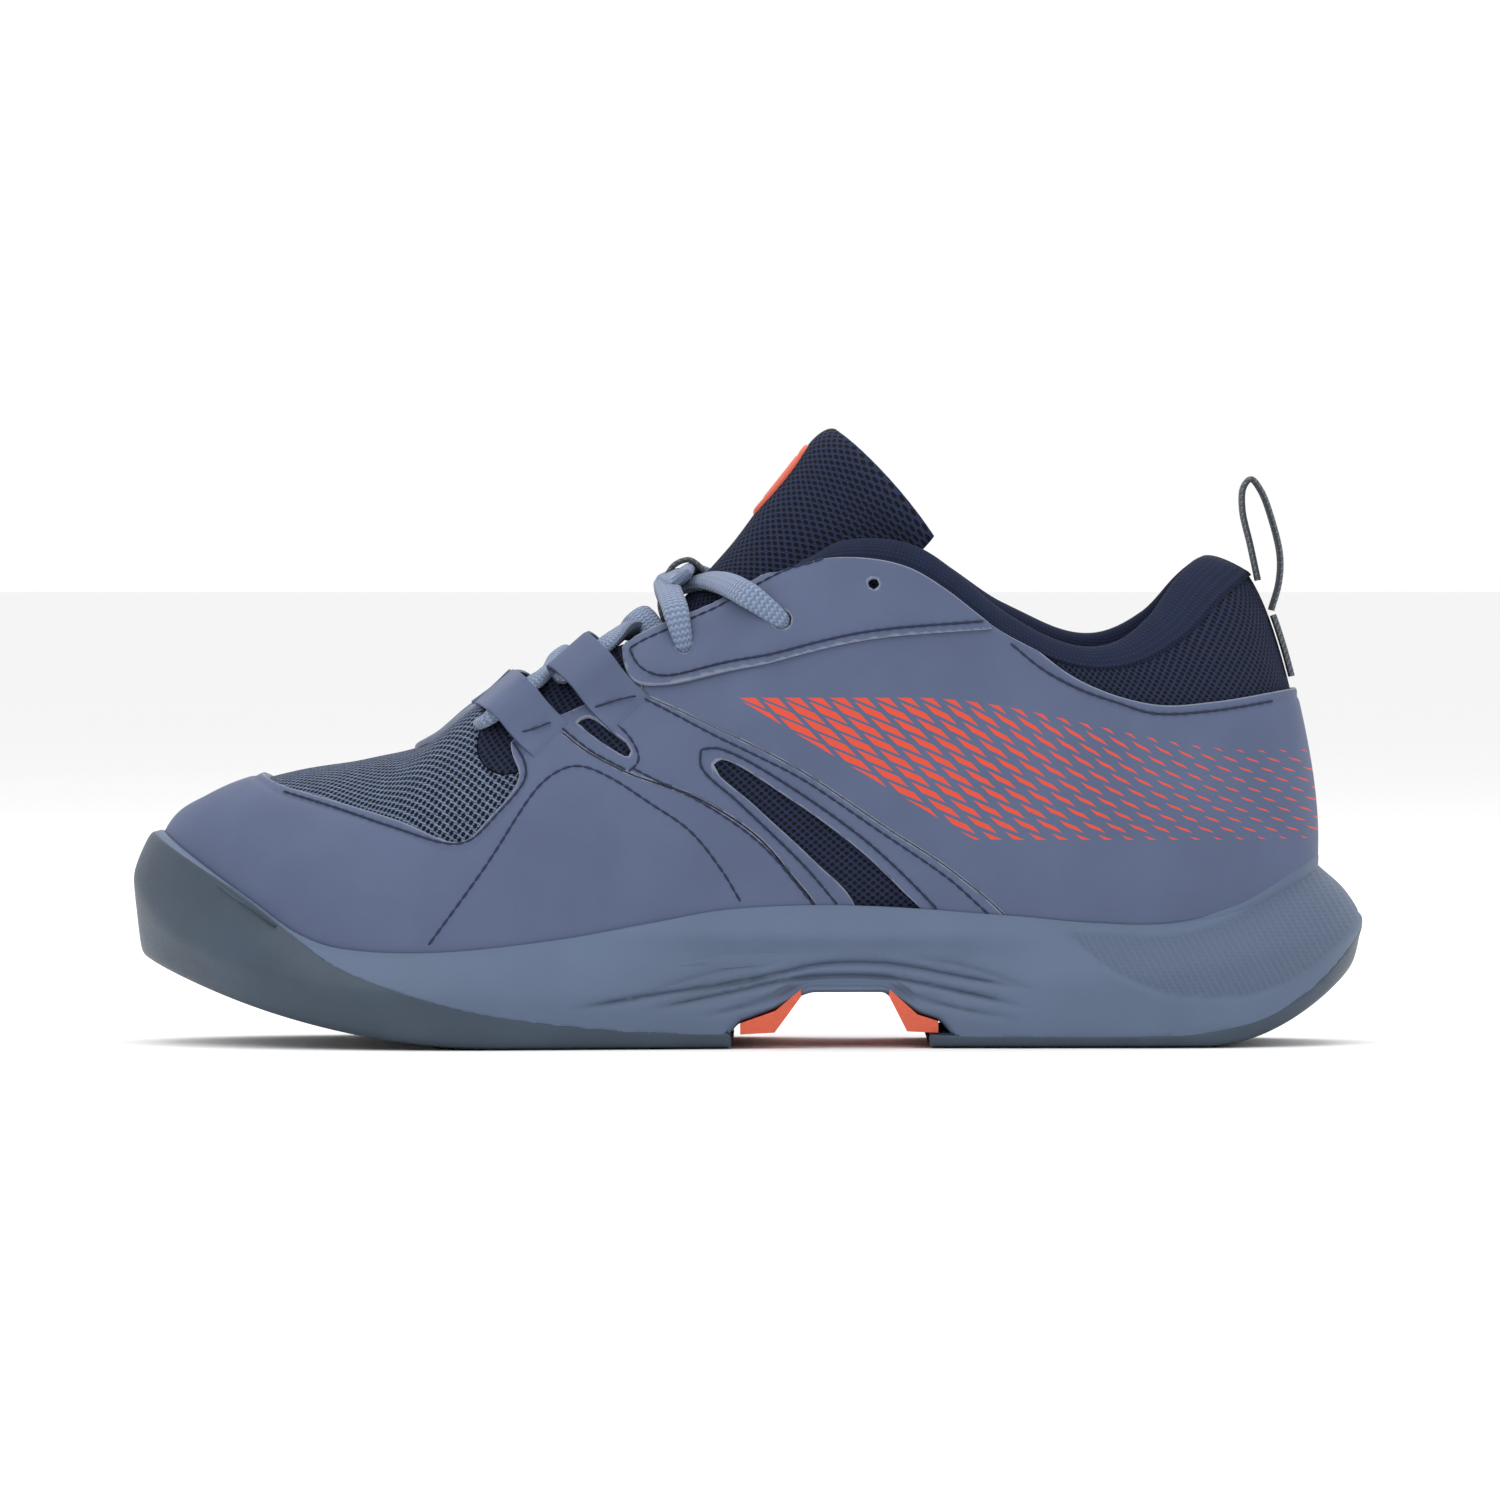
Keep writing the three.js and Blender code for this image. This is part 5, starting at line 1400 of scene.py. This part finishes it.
def upper_panel(name, zone, inner, outer, material, round_over=0.45, creases=(), press=0.3, **more):
    """A panel that also stops at the collar's edge, with rounded edges and pressed-in creases."""
    field = panel_field(zone)
    at, faces = cut(*_upper_grid, field)
    for depth in (0.12, round_over):
        at, faces = cut(at, faces, lambda q: field(q) - depth, both=True)
    for crease in creases:
        for shift in (-0.9, 0.0, 0.9):
            at, faces = cut(at, faces, lambda q: crease(upper(q)) - shift, both=True)
    near = np.clip(field(at), 0, round_over)
    drop = round_over - np.sqrt(np.maximum(round_over**2 - (round_over - near) ** 2, 0))
    for crease in creases:
        drop = drop + press * np.exp(-((crease(upper(at)) / 0.7) ** 2))
    edge = (near < 0.2).astype(float)
    return shell(name, at, faces, inner, outer - drop, material, edge=edge, **more)


class MakeBaseMesh(ShoeOperator, bpy.types.Operator):
    """Knitted base of the upper: the toe mesh, and one side mesh for each quarter"""
    bl_idname = "shoe.make_base_mesh"
    bl_label = "Base mesh"

    def execute(self, context):
        thick = sizes().knit / MM
        toe = lambda p: wrap_rear(p) - KNIT_OVERLAP
        upper_panel("toe_mesh", without(toe, throat_zone), -thick, 0.0, toe_knit_finish(),
                    nodes=["vamp_mesh"], uv=toe_map, round_over=0.3)
        rear = without(lambda p: -toe(p) - 0.3, throat_zone, laced_holes_zone)
        for side, name in SIDES:
            upper_panel(f"side_mesh_{name}", both_in(rear, half(side)), -thick, 0.0, collar_knit_finish(),
                        nodes=[f"quarter_mesh_{name}"], uv=knit_map, round_over=0.3)
        return {"FINISHED"}


class MakeLining(ShoeOperator, bpy.types.Operator):
    """Inside of the upper: lining, collar padding, heel counter and toe stiffener"""
    bl_idname = "shoe.make_lining"
    bl_label = "Lining and stiffeners"

    def execute(self, context):
        field = panel_field(without(lambda p: 50 + 0 * p[:, 0], throat_zone, laced_holes_zone))
        at, faces = cut(*_upper_grid, field)
        level = at[:, 1] / binding_start(at[:, 0])
        outer = lining_outer(at[:, 0], level)
        shell("lining_cloth", at, faces, outer - LINING, outer, lining_finish(),
              nodes=["lining"], uv=knit_map)
        behind = layers()[2]
        for name, node, angles, levels, depth, ahead, material in [
            ("collar_padding", "collar_foam", (-78, 78, 105), (0.36, 1, 26), foam_depth,
             counter_depth, white_foam_finish()),
            ("heel_cup", "heel_counter", (-42, 42, 61), (0.02, 0.56, 18), counter_depth,
             lambda a, _: 0 * a, hidden_board_finish()),
            ("toe_stiffener", "toe_puff", (152, 208, 61), (0.02, 0.76, 20), puff_depth,
             lambda a, _: 0 * a, hidden_board_finish()),
        ]:
            at, faces = grid(np.linspace(*angles), np.linspace(*levels))
            first = behind + ahead(at[:, 0], at[:, 1])
            thick = np.maximum(depth(at[:, 0], at[:, 1]) - PAD_ROOM, 0.4)
            from_end = np.minimum(np.abs(at[:, 0] - angles[0]), np.abs(at[:, 0] - angles[1]))
            thick = thick * mix(0.35, 1, smooth(0, 6, from_end))
            pad = shell(name, at, faces, -(first + thick), -first, material, place=levelled, nodes=[node])
        return {"FINISHED"}


class MakeOverlays(ShoeOperator, bpy.types.Operator):
    """Synthetic panels: toe wrap, saddles, printed quarters, eyestays and the tab at the throat"""
    bl_idname = "shoe.make_overlays"
    bl_label = "Overlays"

    def execute(self, context):
        first, second, _ = layers()
        cuts = (small_window, throat_zone, above_panel)
        wrap = without(moved_out(wrap_rear, -SEAM_GAP / 2), vamp_window, *cuts)
        upper_panel("toe_wrap", wrap, *first, overlay_finish(), nodes=["front_wrap"],
                    creases=[lambda p: -vamp_window(p) - 2.0])
        saddle = without(saddle_rear, moved_out(wrap_rear, SEAM_GAP / 2), side_window, *cuts)
        rear = without(below_collar, moved_out(saddle_rear, SEAM_GAP / 2), side_window,
                       throat_zone, above_panel)
        stay = without(eyestay_area, above_edge(STAY_EDGE), holes_zone)
        for side, name in SIDES:
            upper_panel(f"saddle_panel_{name}", both_in(saddle, half(side)), *first, overlay_finish(),
                        nodes=[f"saddle_{name}"], creases=[lambda p: -side_window(p) - 2.4])
            quarter = both_in(without(rear, holes_zone), half(side))
            upper_panel(f"printed_quarter_{name}", quarter, *first, printed_finish(),
                        nodes=[f"quarter_panel_{name}"], creases=[lambda p: below_collar(p) - 2.2])
            upper_panel(f"eyelet_panel_{name}", both_in(stay, half(side)), *second, overlay_finish(),
                        nodes=[f"eyestay_{name}"], creases=[lambda p: eyestay_area(p) - 1.8])
        tab_border = rounded(THROAT_TAB + [THROAT_TAB[0]])[:-1]
        tab = without(lambda p: np.minimum(inside(p[:, :2], tab_border), p[:, 2] - 50), throat_zone)
        upper_panel("throat_tab_panel", tab, first[0], first[1] + 0.2, overlay_finish(),
                    nodes=["throat_tab"], creases=[lambda p: tab(p) - 2.6], press=0.45)
        return {"FINISHED"}


class MakeCollarEdge(ShoeOperator, bpy.types.Operator):
    """Rolled knitted edge round the ankle opening"""
    bl_idname = "shoe.make_collar_edge"
    bl_label = "Collar edge"

    def execute(self, context):
        angles = np.linspace(-OPENING, OPENING, 261)
        start = binding_start(angles)
        low = np.column_stack([angles, start])
        top = np.column_stack([angles, np.ones_like(angles)])
        depth = -lining_outer(angles, np.ones_like(angles)) + LINING
        outer, inner = upper(low, 0.5), upper(low, -depth)
        middle = (outer + inner) / 2
        crown = upper(top, -depth / 2)
        power = 2 / 2.5
        places = [(np.sign(np.cos(t)) * abs(np.cos(t)) ** power, abs(np.sin(t)) ** power)
                  for t in np.linspace(0, np.pi, 23)]
        places += [(-0.9, -0.12), (0.9, -0.12)]  # its foot, sunk a little between mesh and lining
        rings = np.stack([middle + (outer - inner) / 2 * across + (crown - middle) * up
                          for across, up in places], axis=1)
        points, faces = loft(rings)
        run = distance_run(outer)
        girth = np.linspace(0, 16, rings.shape[1])
        uv = np.column_stack([np.repeat(run, len(girth)), np.tile(girth, len(run))])
        make_mesh("collar_edge", points, faces, lining_finish(), nodes=["collar_binding"], uv=uv, sharp=60)
        return {"FINISHED"}


# ---- Stitching ------------------------------------------------------------------------------------
SEAMS = [  # side-view lines, and where they lie: 0 lower panels, 1 eyelet panel, 2 straps
    ([[-112, 60.4], [-101.9, 57.7], [-84.8, 52.7], [-71.4, 49], [-66.8, 49.9], [-60.4, 56], [-53.6, 64.6],
      [-53.9, 68.9], [-56.5, 73]], 0),
    ([[-57.3, 73.6], [-51.5, 75.4], [-46.3, 77.4]], 2),
    ([[-45, 76.6], [-38, 71.2], [-28.9, 66.3]], 0),
    ([[-76.5, 25], [-63.1, 43.7], [-49.7, 63.4], [-43.6, 67.2], [-39.7, 67.4], [-33.6, 65], [-23.8, 58.8],
      [-13.8, 52], [-6.7, 43.2], [-0.9, 33.5]], 0),
    ([[-27.9, 67], [-20.6, 63.4], [-11.8, 59.4], [3.1, 49], [17, 33]], 0),
    ([[-28.9, 66.3], [-27, 67.9], [-26.4, 69.8], [-29.6, 75.6], [-37, 80.6]], 0),
    ([[-37.2, 80.6], [-31.1, 82.6], [-25.7, 83.8]], 2),
    ([[-25.7, 83.8], [-20.9, 81.5], [-8.9, 75.6], [1.8, 70.4], [12.8, 64.8],
      [31.1, 52.6], [48.7, 40.6], [55.5, 34.6], [59.5, 31]], 0),
    ([[-11, 71.5], [-7.6, 72], [-3, 70.5], [11, 62.3], [28.5, 49.8], [39.5, 39.8], [45.6, 33.5]], 0),
    ([[-11, 71.5], [-11, 67.5], [-2, 58.8], [13.5, 43.8], [21.5, 34.5]], 0),
    ([[63.4, 97.4], [71.4, 90.9], [80.6, 86], [89, 83], [98, 80.3], [112, 80.8], [128, 83.3]], 0),
    ([[-28.2, 94.4], [-27, 91.5], [-25, 89.6], [-20, 88.4], [0, 92.9], [28, 99.9], [58, 102.8]], 1),
    ([[-28.2, 94.4], [-24.8, 96.4], [-18, 99.5], [-12, 101.9], [-6, 104.3], [3.5, 109.5], [12, 114],
      [19, 116.8]], 1),
]


STRAP_FOOT = 1.7  # the top of a strap's stitched foot, over the lower panels


def sew(name, seams):
    """Stitches of thread along seams, each seam a line of points and the way out of the cloth at each."""
    pitch, radius = sizes().stitch_pitch / MM, sizes().thread / MM / 2
    rings_each, corners = 6, 6
    stations = np.linspace(0, 1, rings_each)
    lift = radius * (0.5 + 0.7 * np.sin(np.pi * stations))
    fat = radius * (0.7 + 0.3 * np.sin(np.pi * stations))
    turns = np.linspace(0, 2 * np.pi, corners, endpoint=False)
    points, faces = [], []
    for line, out in seams:
        run = distance_run(line)
        for start in np.arange(0, run[-1] - pitch * 0.9, pitch):
            s = start + 0.05 + stations * (pitch - 0.1)
            middle = np.stack([np.interp(s, run, c) for c in line.T], axis=1)
            up = unit(np.stack([np.interp(s, run, c) for c in out.T], axis=1))
            along = unit(np.gradient(middle, axis=0))
            across = np.cross(along, up)
            middle = middle + up * lift[:, None]
            ring = (middle[:, None] + across[:, None] * (np.cos(turns) * fat[:, None])[..., None]
                    + up[:, None] * (np.sin(turns) * fat[:, None])[..., None])
            made, sides = loft(ring)
            base = rings_each * corners * len(points)
            faces += [tuple(i + base for i in f) for f in sides]
            points.append(made)
    make_mesh(name, np.vstack(points), faces, thread_finish(), sharp=80)


class MakeStitching(ShoeOperator, bpy.types.Operator):
    """Rows of stitches that hold the panels, as separate threads"""
    bl_idname = "shoe.make_stitching"
    bl_label = "Stitching"

    def execute(self, context):
        first, second, _ = layers()
        for side, name in SIDES:
            seams = []
            for line, level in SEAMS:
                at = find(side, rounded(line, 1.2))
                height = (first[1], second[1], first[1] + STRAP_FOOT)[level] - 0.25
                seams.append((upper(at, height), surface_normal(at)))
            sew(f"stitches_{name}", seams)
        return {"FINISHED"}


# ---- Tongue ---------------------------------------------------------------------------------------
tongue_line = through([  # along the tongue: middle x and z, half-width, and how far its sides are set back
    (0, -74, 67.5, 16, 3), (0.1, -62, 75, 17, 4), (0.24, -46, 87, 18.5, 7), (0.4, -28, 98, 19.5, 10),
    (0.5, -18, 106, 19.5, 13), (0.6, -10.5, 114, 19, 17), (0.7, -3, 122.5, 19, 24), (0.85, 9, 137.5, 21, 35),
    (0.93, 14.5, 144.5, 22, 37), (1, 19.5, 151, 23, 36)])
TONGUE_WRAP = math.radians(78)
TONGUE_BEND = 0.66  # the share of its length at the crease


def tongue_surface(s, t):
    s = s - 0.055 * np.abs(t) ** 3 * smooth(0.75, 1, s)  # the top corners are rounded off
    x, z, wide, set_back = np.moveaxis(tongue_line(s), -1, 0)
    ahead, behind = tongue_line(np.minimum(1, s + 0.02)), tongue_line(np.maximum(0, s - 0.02))
    dx, dz = ahead[..., 0] - behind[..., 0], ahead[..., 1] - behind[..., 1]
    run = np.hypot(dx, dz)
    back = set_back * (1 - np.cos(t * TONGUE_WRAP)) / (1 - np.cos(TONGUE_WRAP))
    y = MIDDLE_Y + wide * np.sin(t * TONGUE_WRAP) / np.sin(TONGUE_WRAP)
    return np.stack([x + back * dz / run, y, z - back * dx / run], axis=-1)


def tongue_point(s, t, distance):
    up = tongue_surface(np.minimum(1, s + 0.01), t) - tongue_surface(np.maximum(0, s - 0.01), t)
    over = tongue_surface(s, t + 0.03) - tongue_surface(s, t - 0.03)
    normal = unit(np.cross(up, over))
    normal = np.where(normal[..., :1] > 0, -normal, normal)
    return tongue_surface(s, t) + normal * np.asarray(distance)[..., None]


class MakeTongue(ShoeOperator, bpy.types.Operator):
    """Padded tongue, thin where it is laced down and full at its top, and its moulded mark"""
    bl_idname = "shoe.make_tongue"
    bl_label = "Tongue"

    def execute(self, context):
        tip = 0.94 + 0.06 * np.sin(np.linspace(0, np.pi / 2, 12))
        lengths = np.concatenate([np.linspace(0, 0.94, 84), tip[1:]])
        turns = np.linspace(0, np.pi, 33)
        t_front = np.cos(turns)
        t_back = t_front[::-1][1:-1]
        rings, maps = [], []
        for s in lengths:
            thick = mix(2.4, 6.4, float(smooth(TONGUE_BEND - 0.05, TONGUE_BEND + 0.06, s)))
            end = math.sqrt(max(0.02, 1 - max(0, (s - 0.94) / 0.06) ** 2))
            edge = np.abs(np.sin(turns)) ** 0.55
            full = thick * end
            crown = 0.5 * float(smooth(0.68, 0.8, s)) * (1 - t_front**2)
            front = tongue_point(np.full(33, s), t_front, -thick / 2 + full / 2 * edge + crown)
            back = tongue_point(np.full(31, s), t_back, -thick / 2 - full / 2 * edge[::-1][1:-1])
            rings.append(np.vstack([front, back]))
            across = np.concatenate([t_front, t_back]) * 26
            maps.append(np.column_stack([across, np.full(64, s * 128)]))
        points, faces = loft(rings)
        tongue = make_mesh("tongue_pad", points, faces, tongue_knit_finish(), body=None,
                           uv=np.vstack(maps), sharp=70)
        tuple(tongue_surface(0.615, 0.0) * MM)
        tuple(tongue_surface(0.715, 0.0) * MM)
        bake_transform(tongue)
        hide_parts("tongue_lower", "tongue_face", "tongue_padding", "tongue_lining")
        self.mark()
        return {"FINISHED"}

    def mark(self):
        """A plain lozenge, moulded on the front."""
        at, faces = grid(np.linspace(0, 1, 34), np.linspace(0, 2 * np.pi, 65))

        def place(q, distance=0.0):
            r, turn = q[:, 0], q[:, 1]
            s = 0.85 + 0.09 * r * np.sign(np.sin(turn)) * np.abs(np.sin(turn)) ** 0.9
            t = 0.13 * r * np.sign(np.cos(turn)) * np.abs(np.cos(turn)) ** 0.9
            return tongue_point(s, t, np.broadcast_to(distance, len(q)))
        r = at[:, 0]
        dome = 0.75 * np.sqrt(np.clip(1 - ((r - 0.86) / 0.14).clip(0) ** 2, 0, 1))
        groove = 0.45 * np.exp(-(((r - 0.66) / 0.04) ** 2))
        shell("tongue_mark", at, faces, 0.25, 0.45 + dome - groove, shank_finish(), place=place,
              body="tongue_top", nodes=["tongue_patch"], sharp=50)


# ---- Lace, straps and webbing ---------------------------------------------------------------------
def give_material(node, material):
    """A part of the frame that keeps its own shape."""
    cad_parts[node].data.materials.clear()
    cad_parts[node].data.materials.append(material)


LACE_UP = (-0.6, 0, 0.8)


def lace_half(side):
    """Places of half the lace, from its lowest bar to its tip: point, up, and if it is squeezed."""
    first, second, behind = layers()
    on_panel = first[1] + 0.3 + 1.4 + 0.5
    out, under = second[1] + 2.6, -(behind + 0.8 + 0.3 + 1.4 + 0.4)
    far = -side

    def over(x, y, z):
        return np.array([x, MIDDLE_Y + y, z], float), np.array(LACE_UP), 0

    def near(s, x, z, distance, up=None):
        at = find(s, [[x, z]])
        squeezed = [x, z] in EYELETS or distance == on_panel
        up = surface_normal(at)[0] if up is None else np.array(up, float)
        return upper(at, distance)[0], up, squeezed
    e, f = EYELETS
    return [
        over(-66, 0, 78.5), over(-65.5, side * 7, 78),
        near(side, -61, 77.5, on_panel), near(side, -51, 85.3, on_panel),
        over(-48, side * 10, 91), over(-46, 0, 92.5 - side * 2), over(-45, far * 9, 92.5),
        near(far, -43, 87.5, on_panel), near(far, -34.5, 94, on_panel),
        over(-30, far * 11, 100.5), over(-26.5, 0, 102 - side * 2), over(-22, side * 10, 99),
        near(side, -17.5, 97.5, under, LACE_UP), near(side, *e, under + 1),
        near(side, *e, first[1]), near(side, -16.8, 101, out), near(side, -17.3, 107.5, out + 0.6),
        over(-16.5, side * 11, 113), over(-15, 0, 113 - side * 1.5), over(-9, far * 11, 112.5),
        near(far, 3.5, 106, out), near(far, *f, first[1]),
        near(far, *f, under + 1), near(far, 6, 95, under - 1, LACE_UP),
        near(far, 0, 84, under - 1, LACE_UP), near(far, -8, 72, under - 1, LACE_UP)]


def lace_line(side, count):
    knots = lace_half(side)
    t = np.linspace(0, 1, count)
    squeezed = np.interp(t * (len(knots) - 1), np.arange(len(knots)), [float(k[2]) for k in knots])
    ups = unit(spline([k[1] for k in knots], t, 0.3))
    return spline([k[0] for k in knots], t), ups, squeezed


class MakeLace(ShoeOperator, bpy.types.Operator):
    """Oval braided lace through the straps and the eyelets, its ends tucked under the tongue"""
    bl_idname = "shoe.make_lace"
    bl_label = "Lace"

    def execute(self, context):
        halves = [lace_line(-1, 210), lace_line(1, 210)]
        line, ups, squeezed = [np.concatenate([a[::-1], b[1:]]) for a, b in zip(*halves)]
        squeeze = 1 - 0.34 * squeezed
        wide, thick = sizes().lace_width / MM * squeeze, sizes().lace_thickness / MM
        swept("lace_braid", line, ups, wide, thick, oval(16, 2.6), lace_finish(), nodes=["shoelace"])
        for node in ("aglet_lateral", "aglet_medial"):
            give_material(node, tip_finish())
        return {"FINISHED"}


STRAPS = [  # stitched foot and folded top in the side view, and width
    ("front", (-48.3, 74.4), (-58.6, 82.4), 12.4),
    ("rear", (-29.6, 80.9), (-42, 91.4), 13),
]


class MakeStraps(ShoeOperator, bpy.types.Operator):
    """Lace tunnels: a folded strap of the panel material over the lace, two on each side"""
    bl_idname = "shoe.make_straps"
    bl_label = "Lace straps"

    def execute(self, context):
        first = layers()[0]
        flat, lifted = first[1] + 0.1, first[1] + 5.2
        shares = [-0.14, 0, 0.2, 0.42, 0.62, 0.8, 0.95, 1.04, 1.02, 0.9]
        away = [flat - 0.9, flat, flat + 0.5, flat + 2.2, lifted - 0.5,
                lifted, lifted - 0.3, lifted - 1.8, lifted - 3.6, lifted - 4.6]
        for side, side_name in SIDES:
            for name, low, high, width in STRAPS:
                at = find(side, [[mix(low[0], high[0], t), mix(low[1], high[1], t)] for t in shares])
                line = spline(upper(at, away), np.linspace(0, 1, 70))
                middle = surface_normal(at[3:4])[0]
                axis = unit(np.cross(middle, upper(at[5:6])[0] - upper(at[1:2])[0]))
                ups = unit(np.cross(np.gradient(line, axis=0), axis))
                swept(f"strap_{name}_{side_name}", line, ups, width, 1.1, oval(20, 9), overlay_finish(),
                      nodes=[f"lace_strap_{name}_{side_name}"])
        return {"FINISHED"}


KEEPER = [
    [-20.2, 102.2], [-21.3, 106.5], [-20.4, 112], [-17.9, 116.3], [-14.3, 117.6], [-11.7, 116],
    [-10.2, 114.3],
]
PULL_LOOP = [
    [124.5, 112.6], [122.7, 121], [120.7, 130], [121, 135.3], [122.8, 137.3], [125.2, 134.5],
    [128, 127], [129.9, 118.5], [129.6, 112], [127.75, 105.3],
]


TAIL_GAP = 0.9  # room above the stitched tail for the loop to fold


class MakeWebbing(ShoeOperator, bpy.types.Operator):
    """Woven webbing: the heel pull loop, its stitched-down tail, and the lace keeper on the tongue"""
    bl_idname = "shoe.make_webbing"
    bl_label = "Webbing"

    def execute(self, context):
        thick = sizes().webbing / MM
        for name, points, y, wide, body, node in [
            ("pull_loop_webbing", PULL_LOOP, SEAM_Y, 11, "pull_loop", "heel_pull_loop"),
            ("lace_keeper_webbing", KEEPER, MIDDLE_Y, 9, "shoe", "tongue_lace_keeper"),
        ]:
            line = spline([[x, y, z] for x, z in points], np.linspace(0, 1, 90))
            along = np.gradient(line, axis=0)
            ups = unit(np.column_stack([-along[:, 2], 0 * along[:, 0], along[:, 0]]))
            swept(name, line, ups, wide, thick, oval(18, 6), webbing_finish(), body=body, nodes=[node])
        low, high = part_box("heel_pull_tail")
        heights = np.linspace(low.z / MM, high.z / MM - TAIL_GAP, 30)
        angle = np.zeros(30)
        at = np.column_stack([angle, share_at_height(angle, heights)])
        line = upper(at, layers()[0][0] + thick / 2 + 0.1)
        line[:, 1] = SEAM_Y
        swept("pull_tail_webbing", line, surface_normal(at), 11, thick, oval(18, 6), webbing_finish(),
              nodes=["heel_pull_tail"])
        return {"FINISHED"}


class FinishFrameParts(ShoeOperator, bpy.types.Operator):
    """Materials for the moulded shank and the board, whose shapes come from the frame"""
    bl_idname = "shoe.finish_frame_parts"
    bl_label = "Shank and board"

    def execute(self, context):
        give_material("shank_plate", shank_finish())
        give_material("lasting_board", hidden_board_finish())
        return {"FINISHED"}


CAMERA_RISE = 0.9  # degrees above the horizon


class MakeStage(ShoeOperator, bpy.types.Operator):
    """Pale floor, soft studio lights and a distant camera at the shoe's outer side"""
    bl_idname = "shoe.make_stage"
    bl_label = "Stage"

    def execute(self, context):
        bpy.ops.object.select_all(action="DESELECT")
        bpy.ops.mesh.primitive_plane_add(size=60, location=(0, 0, -0.0002))
        floor = context.object
        floor.name = "floor"
        paper = Finish("studio_paper", roughness=0.9, Specular_IOR_Level=0.1)
        tone = paper.noise(paper.place(), 0.002, 2.0)
        paper.paint(paper.mixed(tone, colours().floor, shade(colours().floor, 1.02)))
        floor.data.materials.append(paper.material)
        for name, where, aim, size, power in [
            ("key", (-0.9, -1.6, 1.7), (0, 0, 0.05), 1.6, 13),
            ("fill", (1.3, -1.5, 0.9), (0, 0, 0.06), 1.5, 4),
            ("top", (0, 0.3, 2.0), (0, 0, 0.05), 1.8, 20),
            ("back", (0.4, 1.8, 1.2), (0, 0, 0.08), 1.5, 6),
        ]:
            bpy.ops.object.light_add(type="AREA", location=where)
            light = context.object
            light.name = name
            light.data.size, light.data.energy = size, power
            direction = np.array(where) - np.array(aim)
            light.rotation_euler = (
                math.atan2(math.hypot(direction[0], direction[1]), direction[2]), 0,
                math.atan2(direction[1], direction[0]) + math.pi / 2)
        world = bpy.data.worlds.new("studio")
        world.use_nodes = True
        background = world.node_tree.nodes["Background"]
        background.inputs["Color"].default_value = (1, 1, 1, 1)
        background.inputs["Strength"].default_value = 1.0
        context.scene.world = world
        context.scene.view_settings.view_transform = "Standard"
        distance, wide = sizes().camera_distance, sizes().view_width
        camera = bpy.data.cameras.new("camera")
        camera.sensor_width = 36
        camera.lens = distance * camera.sensor_width / wide
        eye = bpy.data.objects.new("camera", camera)
        context.scene.collection.objects.link(eye)
        tilt = math.radians(CAMERA_RISE)
        eye.location = (0.0006, -distance * math.cos(tilt), 0.0712 + distance * math.sin(tilt))
        eye.rotation_euler = (math.pi / 2 - tilt, 0, 0)
        camera.clip_end = 100
        context.scene.camera = eye
        return {"FINISHED"}


OPERATORS = [
    MakeStage, MakeMidsole, MakeOutsole, FinishFrameParts, MakeInsole, MakeBaseMesh, MakeLining,
    MakeOverlays, MakeCollarEdge, MakeStitching, MakeTongue, MakeStraps, MakeLace, MakeWebbing,
]


class ShoePanel(bpy.types.Panel):
    """The shoe's sizes, colours and pieces"""
    bl_label = "Court Shoe"
    bl_idname = "VIEW3D_PT_court_shoe"
    bl_space_type = "VIEW_3D"
    bl_region_type = "UI"
    bl_category = "Court Shoe"

    def draw(self, context):
        for group, title in ((sizes(), "Sizes"), (colours(), "Colours")):
            box = self.layout.box()
            box.label(text=title)
            for name in group.__annotations__:
                box.prop(group, name)
        column = self.layout.column(align=True)
        for operator in OPERATORS:
            column.operator(operator.bl_idname)


CLASSES = [ShoeSizes, ShoeColours, *OPERATORS, ShoePanel]


def register():
    for cls in CLASSES:
        bpy.utils.register_class(cls)
    bpy.types.Scene.shoe_sizes = bpy.props.PointerProperty(type=ShoeSizes)
    bpy.types.Scene.shoe_colours = bpy.props.PointerProperty(type=ShoeColours)


def unregister():
    del bpy.types.Scene.shoe_colours
    del bpy.types.Scene.shoe_sizes
    for cls in reversed(CLASSES):
        bpy.utils.unregister_class(cls)


def main():
    register()
    for operator in OPERATORS:
        group, name = operator.bl_idname.split(".")
        getattr(getattr(bpy.ops, group), name)()


if __name__ == "__main__":
    main()
